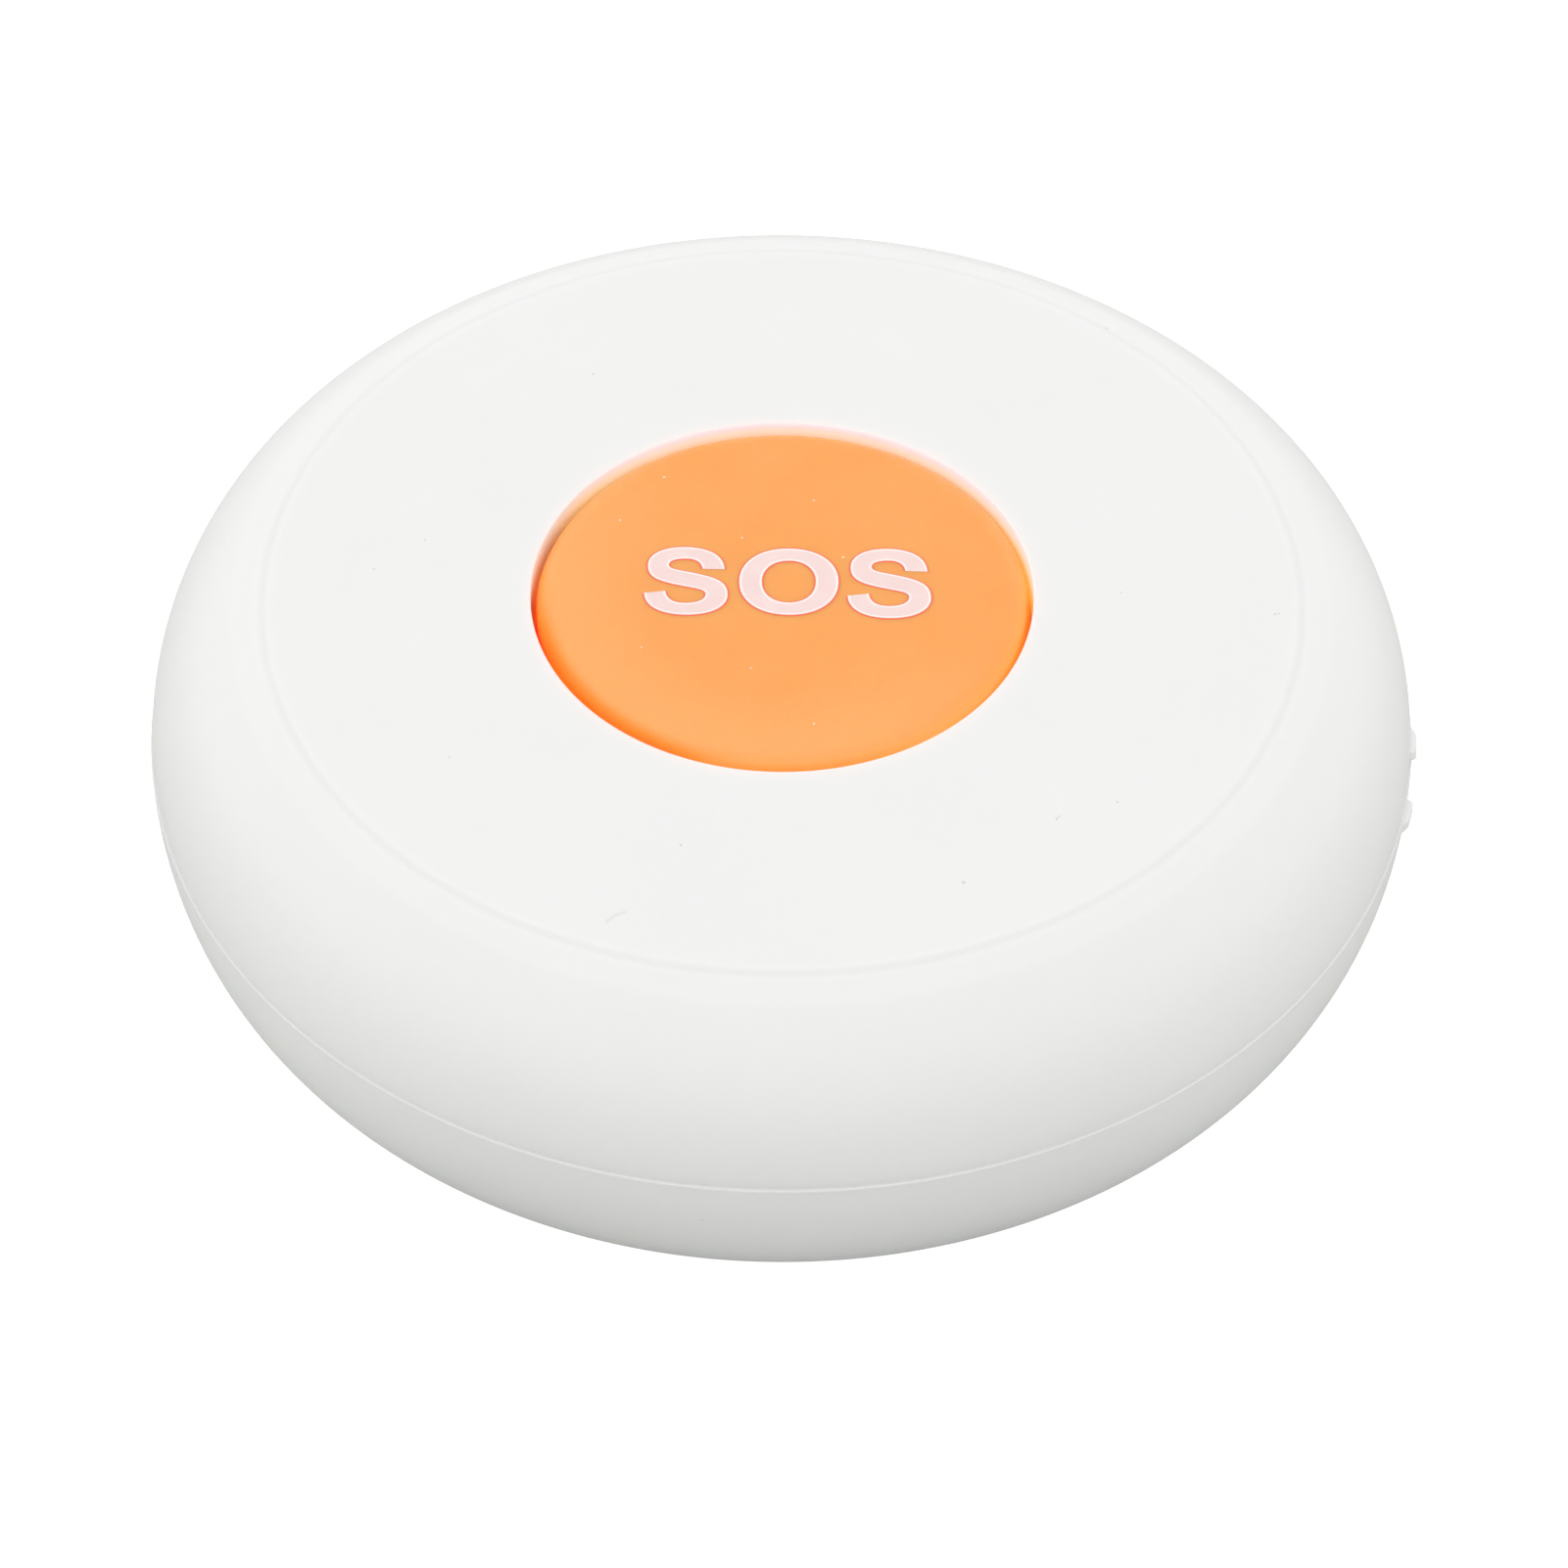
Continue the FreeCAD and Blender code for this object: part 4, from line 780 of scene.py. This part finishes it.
def makeUpperCase():
    shell = solid("upper_case", turnedShape(upperOutline(), caseShape["segments"]))
    inside = upperInside
    tab = gateTab(caseShape["upperRim"], *gateShape["upper"])
    added = [tab] + boxes(inside["boxes"]) + posts(inside["posts"])
    combine(shell, solid("parts", *added), "UNION")
    combine(shell, solid("parts", *boxes(inside["braces"])), "UNION")
    combine(shell, solid("parts", *posts(inside["pilots"])), "DIFFERENCE")
    smoothed(shell.data)
    return dress(shell, finishes["case_plastic"], "case", "case_plastic", "upper_shell")


def lowerOutline():
    # the lower shell's section: well, foot, side, ledge, tongue, inner wall, cradle and door's hole
    values = caseShape
    rim, seam, floor = values["lowerRim"], values["seam"], values["floor"]
    centre = (rim - values["baseRun"], seam)
    run, legs, well, recess = (values[key] for key in ("baseRun", "arcLegs", "doorWell", "doorRecess"))
    side = ellipseRun(centre, run, seam, -90, values["sideEnd"], values["sideSteps"])
    inner = ellipseRun(centre, run - values["wall"], seam - floor, 0, -90, values["innerSteps"])
    ledge = rounded([(rim, seam - legs), (rim, seam), (rim - legs, seam)], [0, values["ledgeEdge"], 0])
    wellArc = rounded([(well, legs), (well, 0), (well + legs, 0)], [0, values["wellEdge"], 0])
    foot = straight((values["footStart"], 0), (centre[0] - values["footEnd"], 0), values["bandSteps"])
    outer, inward, tip = values["tongueOuter"], values["tongueInner"], values["tongueTop"]
    near, far, lip = values["cradleInner"], values["cradleOuter"], values["cradleTop"]
    return joined(
        (values["doorHole"], recess), (well, recess), wellArc[1:-1], foot, side, ledge[1:-1],
        (outer, seam), (outer, tip), (inward, tip), (inward, seam), inner,
        (far, floor), (far, lip), (near, lip), (near, floor), (values["doorHole"], floor))


def screwHoles():
    # three stepped holes: a wide one for the head and a narrow one for the shank
    inside = lowerInside
    (head, headTop), (shank, shankTop) = inside["headBore"], inside["shankHole"]
    under = inside["holeStart"]
    hole = joined((0, under), (head, under), (head, headTop), (shank, headTop),
                  (shank, shankTop), (0, shankTop))
    points, faces = turnedShape(hole, inside["holeSegments"], False)
    return around((points + (inside["screwDistance"], 0, 0), faces), 90, 3)


def makeLowerCase():
    shell = solid("lower_case", turnedShape(lowerOutline(), caseShape["segments"]))
    inside = lowerInside
    tab = gateTab(caseShape["lowerRim"], *gateShape["lower"])
    added = [tab] + boxes(inside["boxes"]) + posts(inside["posts"])
    combine(shell, solid("parts", *added), "UNION")
    cuts = [screwHoles()] + boxes(inside["cuts"]) + posts(inside["pilots"])
    combine(shell, solid("parts", *cuts), "DIFFERENCE")
    smoothed(shell.data)
    return dress(shell, finishes["case_plastic"], "case", "case_plastic", "lower_shell")


makeUpperCase()
makeLowerCase()
print("stage: case")


# Button

buttonShape = {
    "segments": 192,
    "radius": 12.61,
    "top": 18.9,
    "edge": 1.25,
    "roofUnder": 17.1,
    "skirtInner": 11.27,
    "flange": 13.67,
    "flangeTop": 13.45,
    "flangeBottom": 12.35,
    "offCentre": (0.03, 0.02),
    "post": (0, 1.6, 15.05, 17.5),     # distance, radius and both ends in z
    "cup": (6.1, 6.9, 15.9, 17.5),     # both radii and both ends in z
    "cross": (0.5, 4.2, 15.8, 17.5),   # half width, reach and both ends in z
    "webs": (0, 6, 6.5, 11.77, -0.5, 0.5, 15.9, 17.4),
    "notches": (90, 3, 12.47, 14.7, -1.4, 1.4, 12.1, 13.45),
    "edgeSteps": 18,
    "faceStart": 0.3,                  # the face's first points lie this far inside its rounding
    "faceSteps": 12,
    "cupSegments": 96,
}


def makeButton():
    values = buttonShape
    radius, top, edge = values["radius"], values["top"], values["edge"]
    shoulder = ellipseRun((radius - edge, top - edge), edge, edge, 0, 90, values["edgeSteps"])
    outline = joined(
        (0, values["roofUnder"]), (values["skirtInner"], values["roofUnder"]),
        (values["skirtInner"], values["flangeBottom"]), (values["flange"], values["flangeBottom"]),
        (values["flange"], values["flangeTop"]), (radius, values["flangeTop"]), shoulder,
        straight((radius - edge - values["faceStart"], top), (0, top), values["faceSteps"]))
    cap = solid("button_top", turnedShape(outline, values["segments"], False))
    inner, outer, low, high = values["cup"]
    corners = joined((inner, low), (outer, low), (outer, high), (inner, high))
    cup = turnedShape(corners, values["cupSegments"])
    half, reach, low, high = values["cross"]
    quarter = np.array([(reach, -half), (reach, half), (half, half)])
    cross = np.concatenate([quarter @ planeTurn(angle) for angle in (0, 90, 180, 270)])
    combine(cap, solid("parts", cup, prismShape(cross, low, high)), "UNION")
    combine(cap, solid("parts", postShape(*values["post"]), *boxes([values["webs"]])), "UNION")
    combine(cap, solid("parts", *boxes([values["notches"]])), "DIFFERENCE")
    smoothed(cap.data)
    x, y = values["offCentre"]
    cap.data.transform(Matrix.Translation((x * mm, y * mm, 0)))
    return dress(cap, finishes["button_plastic"], "button", "button_plastic", "button_cap")


makeButton()


# Return spring and snap dome, drawn at their parts' size; the real ones shorten as the button goes down

springShape = {
    "radius": 5.6,
    "wire": 0.25,
    "pitch": 1.45,
    "stepsPerTurn": 72,
    "sides": 20,
}
domeShape = {
    "segments": 96,
    "flat": 0.85,
    "thick": 0.1,
    "foot": 0.2,
}


def coilShape(radius, wire, low, high, pitch, steps, sides):
    # a round wire whose middle is (radius * cos a, radius * sin a, low + wire + pitch * a / 2 pi)
    turns = (high - low - 2 * wire) / pitch
    a = np.linspace(0, 2 * math.pi * turns, round(turns * steps))[:, None]
    b = np.arange(sides)[None, :] * 2 * math.pi / sides
    across = radius + wire * np.cos(b)
    height = low + wire + pitch * a / (2 * math.pi) + wire * np.sin(b)
    points = np.stack([across * np.cos(a), across * np.sin(a), height], axis=-1).reshape(-1, 3)
    ends = [list(range(sides))[::-1], list(range(len(points) - sides, len(points)))]
    return points, gridFaces(len(a), sides, False, True).tolist() + ends


def pressed(piece, node):
    # replaces the node: the piece takes its finish and joins the case's body
    slot = slotOfNode[node]
    dress(piece, finishes[slot], "case", slot, node)
    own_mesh(piece)


def makeSprings():
    values = springShape
    low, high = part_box("return_spring")
    coil = coilShape(values["radius"], values["wire"], low[2] / mm, high[2] / mm, values["pitch"],
                     values["stepsPerTurn"], values["sides"])
    pressed(solid("spring_coil", coil), "return_spring")
    values = domeShape
    low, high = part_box("switch_dome")
    reach, floor, crown = high[0] / mm, low[2] / mm, high[2] / mm
    outline = joined((0, crown), (values["flat"], crown), (reach, floor), (reach - values["foot"], floor),
                     (values["flat"], crown - values["thick"]), (0, crown - values["thick"]))
    dome = solid("snap_dome", turnedShape(outline, values["segments"], False))
    pressed(dome, "switch_dome")


makeSprings()


# Lettering: two S and one O, printed on the cap

letterShape = {
    "thickness": 0.030,
    "rimThickness": 0.036,
    "rimWidth": 0.12,
    "lineThickness": 0.005,
    "lineWidth": 0.10,
    "rimSlope": 0.01,                  # width of the step from the rim down to the fill
    "sharp": 50,
    "turn": -0.6,                      # degrees
    "roundness": 2.15,                 # of the O: 2 is an ellipse, more is squarer
    "sideStroke": 1.15,
    "flatStroke": 0.885,
    "pull": 0.6,                       # length of the curve handles, 0.55 is elliptical
    "ovalSteps": 120,
    "drawnSize": (4.25, 4.96),         # width and height that the S below is drawn in
    # the two edges of the S from its upper to its lower end: x, y and heading in degrees
    "outerEdge": [(1.94, 0.88, 92), (-0.10, 2.48, 180), (-1.98, 1.14, 270), (-0.40, -0.31, -15),
                  (1.015, -0.98, 270), (-0.02, -1.63, 180), (-1.05, -0.76, 98)],
    "innerEdge": [(0.82, 0.90, 98), (-0.06, 1.64, 180), (-0.91, 1.18, 270), (0.30, 0.60, -15),
                  (2.13, -1.02, 270), (0.02, -2.48, 180), (-2.12, -0.92, 92)],
    # letter, centre x and y, width and height
    "places": [("S", -4.885, 0.90, 4.25, 4.96), ("O", 0.345, 0.875, 5.05, 4.85),
               ("S", 5.46, 0.78, 4.25, 5.08)],
}


def curveRun(nodes, pull, steps=10):
    # cubic curves from node to node: each handle lies along the heading and is pull times as long
    # as the stretch reaches in that direction
    out = []
    t = np.linspace(0, 1, steps + 1)[:, None]
    for (x0, y0, heading0), (x1, y1, heading1) in zip(nodes[:-1], nodes[1:]):
        start, end = np.array([x0, y0]), np.array([x1, y1])
        leave = np.array([math.cos(math.radians(heading0)), math.sin(math.radians(heading0))])
        arrive = np.array([math.cos(math.radians(heading1)), math.sin(math.radians(heading1))])
        first = start + leave * pull * abs((end - start) @ leave)
        second = end - arrive * pull * abs((end - start) @ arrive)
        run = (start * (1 - t) ** 3 + first * 3 * t * (1 - t) ** 2
               + second * 3 * t ** 2 * (1 - t) + end * t ** 3)
        out.append(run if not out else run[1:])
    return np.concatenate(out)


def superEllipse(angles, across, upward, power):
    # (across * |cos a|^(2/power), upward * |sin a|^(2/power)) with the signs of cos a and sin a
    c, s = np.cos(angles), np.sin(angles)
    return np.stack([across * np.sign(c) * np.abs(c) ** (2 / power),
                     upward * np.sign(s) * np.abs(s) ** (2 / power)], axis=1)


def letterO(width, height):
    values = letterShape
    a = np.arange(values["ovalSteps"]) * 2 * math.pi / values["ovalSteps"]
    power = values["roundness"]
    outer = superEllipse(a, width / 2, height / 2, power)
    inner = superEllipse(a, width / 2 - values["sideStroke"], height / 2 - values["flatStroke"], power)
    return outer, inner, True


def letterS(width, height):
    # a band between two edges, stretched from the size that it is drawn in
    values = letterShape
    stretch = np.array([width, height]) / values["drawnSize"]
    outer = curveRun(values["outerEdge"], values["pull"]) * stretch
    inner = curveRun(values["innerEdge"], values["pull"]) * stretch
    return outer, inner, False


def makeLettering():
    values = letterShape
    low = buttonShape["top"]
    turn = planeTurn(values["turn"])
    points, faces, start = [], [], 0
    for letter, x, y, width, height in values["places"]:
        first, second, closed = (letterO if letter == "O" else letterS)(width, height)
        # rows from beyond the first edge to beyond the second: the line, the rim and the fill
        across = second - first
        across = across / np.linalg.norm(across, axis=1, keepdims=True)
        line, rim, fill = (values[key] for key in ("lineThickness", "rimThickness", "thickness"))
        half = [(-values["lineWidth"], 0.0), (-values["lineWidth"], line), (0.0, line), (0.0, rim),
                (values["rimWidth"], rim), (values["rimWidth"] + values["rimSlope"], fill)]
        rows = [(first + across * step, lift) for step, lift in half]
        rows += [(second - across * step, lift) for step, lift in half[::-1]]
        grid = np.stack([np.column_stack([edge @ turn + (x, y), np.full(len(edge), low + lift)])
                         for edge, lift in rows], axis=1)
        faces += (gridFaces(len(first), len(rows), closed, True) + start).tolist()
        if not closed:
            lowEnd = np.arange(len(rows)) + start
            faces += [lowEnd.tolist(), (lowEnd[::-1] + len(rows) * (len(first) - 1)).tolist()]
        points.append(grid.reshape(-1, 3))
        start += len(first) * len(rows)
    piece = meshObject("cap_lettering", np.concatenate(points) * mm, faces, sharp=values["sharp"])
    return dress(piece, makePrintInk(low), "button", "button_plastic")


makeLettering()
print("stage: button and lettering")


# Floor, light and camera

studio = {
    "sky": (0.998, 0.999, 1.000),
    "skySlope": (-0.042, -0.005, 0.0),           # change of brightness to the right and to the back
    "horizon": (0.430, 0.420, 0.420),            # added close to the horizon
    "horizonHeight": 0.45,
    "floorSize": 3.0,
    "floorLight": (0.52, 0.52, 0.52),
    "floorShade": (0.50, 0.50, 0.50),
    "floorGlow": 0.9,
    "floorRoughness": 0.9,
    "cloudSize": 60.0,
    "bounceUnder": 0.0002,                       # metres below the floor
    "bounceFront": (0.418, 0.431, 0.410),        # light that the floor gives back, less from the front
    "bounceSide": (0.535, 0.551, 0.525),
    "bounceCloud": 0.98,                         # the darker end of its faint clouds
    "bounceFacing": (270, 0.93, 0.64),
}


def makeFloor():
    half = studio["floorSize"] / 2
    corners = np.array([(-half, -half, 0), (half, -half, 0), (half, half, 0), (-half, half, 0)])
    floor = meshObject("floor", corners, np.array([[0, 1, 2, 3]]))
    material, nodes, links, shader, place = nodeMaterial("floor_white")
    cloud = noise(nodes, links, place, studio["cloudSize"])
    colour = blended(nodes, links, cloud, studio["floorShade"], studio["floorLight"])
    links.new(colour, shader.inputs["Base Color"])
    shader.inputs["Roughness"].default_value = studio["floorRoughness"]
    shader.inputs["Emission Color"].default_value = (1, 1, 1, 1)
    shader.inputs["Emission Strength"].default_value = studio["floorGlow"]
    floor.data.materials.append(material)
    floor.visible_diffuse = False
    floor.visible_glossy = False
    under = corners - (0, 0, studio["bounceUnder"])
    bounce = meshObject("floor_bounce", under, np.array([[0, 1, 2, 3]]))
    grey, nodes, links, shader, place = nodeMaterial("floor_grey")
    cloud = noise(nodes, links, place, studio["cloudSize"])
    front = studio["bounceFront"]
    darker = tuple(value * studio["bounceCloud"] for value in front)
    colour = blended(nodes, links, cloud, darker, front)
    sides = facing(nodes, links, place, *studio["bounceFacing"])
    colour = mixedColour(nodes, links, sides, 1.0, colour, studio["bounceSide"])
    links.new(colour, shader.inputs["Base Color"])
    shader.inputs["Roughness"].default_value = 1.0
    bounce.data.materials.append(grey)
    bounce.visible_camera = False


def makeSky():
    world = bpy.data.worlds.new("studio")
    bpy.context.scene.world = world
    world.use_nodes = True
    nodes, links = world.node_tree.nodes, world.node_tree.links
    background = nodes["Background"]
    place = nodes.new("ShaderNodeTexCoord")
    # sky + horizon * (1 near the horizon, 0 above) + slope . direction
    height = heightOf(nodes, links, place.outputs["Generated"])
    near = rising(nodes, links, height, studio["horizonHeight"], 0.0)
    glow = nodes.new("ShaderNodeVectorMath")
    glow.operation = "SCALE"
    glow.inputs[0].default_value = studio["horizon"]
    links.new(near, glow.inputs["Scale"])
    slope = nodes.new("ShaderNodeVectorMath")
    slope.operation = "DOT_PRODUCT"
    slope.inputs[1].default_value = studio["skySlope"]
    links.new(place.outputs["Generated"], slope.inputs[0])
    level = glow.outputs["Vector"]
    for value in (studio["sky"], slope.outputs["Value"]):
        total = nodes.new("ShaderNodeVectorMath")
        links.new(level, total.inputs[0])
        if isinstance(value, tuple):
            total.inputs[1].default_value = value
        else:
            links.new(value, total.inputs[1])
        level = total.outputs["Vector"]
    links.new(level, background.inputs["Color"])
    background.inputs["Strength"].default_value = 1.0


cameraPlace = {
    "focalPixels": 7177.4,             # of an image 1601 pixels wide
    "imagePixels": 1601,
    "distance": 367.19,
    "elevation": 45.474,
    "targetX": 0.148,
    "targetZ": 5.112,
    "roll": 0.2795,                    # degrees
}


def makeCamera():
    values = cameraPlace
    data = bpy.data.cameras.new("camera")
    data.sensor_width = 36.0
    data.lens = values["focalPixels"] / values["imagePixels"] * data.sensor_width
    camera = bpy.data.objects.new("camera", data)
    bpy.context.scene.collection.objects.link(camera)
    e = math.radians(values["elevation"])
    forward = Vector((0, math.cos(e), -math.sin(e)))
    target = Vector((values["targetX"], 0, values["targetZ"]))
    camera.location = (target - forward * values["distance"]) * mm
    roll = Matrix.Rotation(math.radians(values["roll"]), 3, "Z")
    camera.rotation_euler = (forward.to_track_quat("-Z", "Y").to_matrix() @ roll).to_euler()
    data.clip_start, data.clip_end = 0.01, 20
    bpy.context.scene.camera = camera


makeFloor()
makeSky()
makeCamera()
bpy.context.scene.view_settings.view_transform = "Standard"
print("stage: studio")
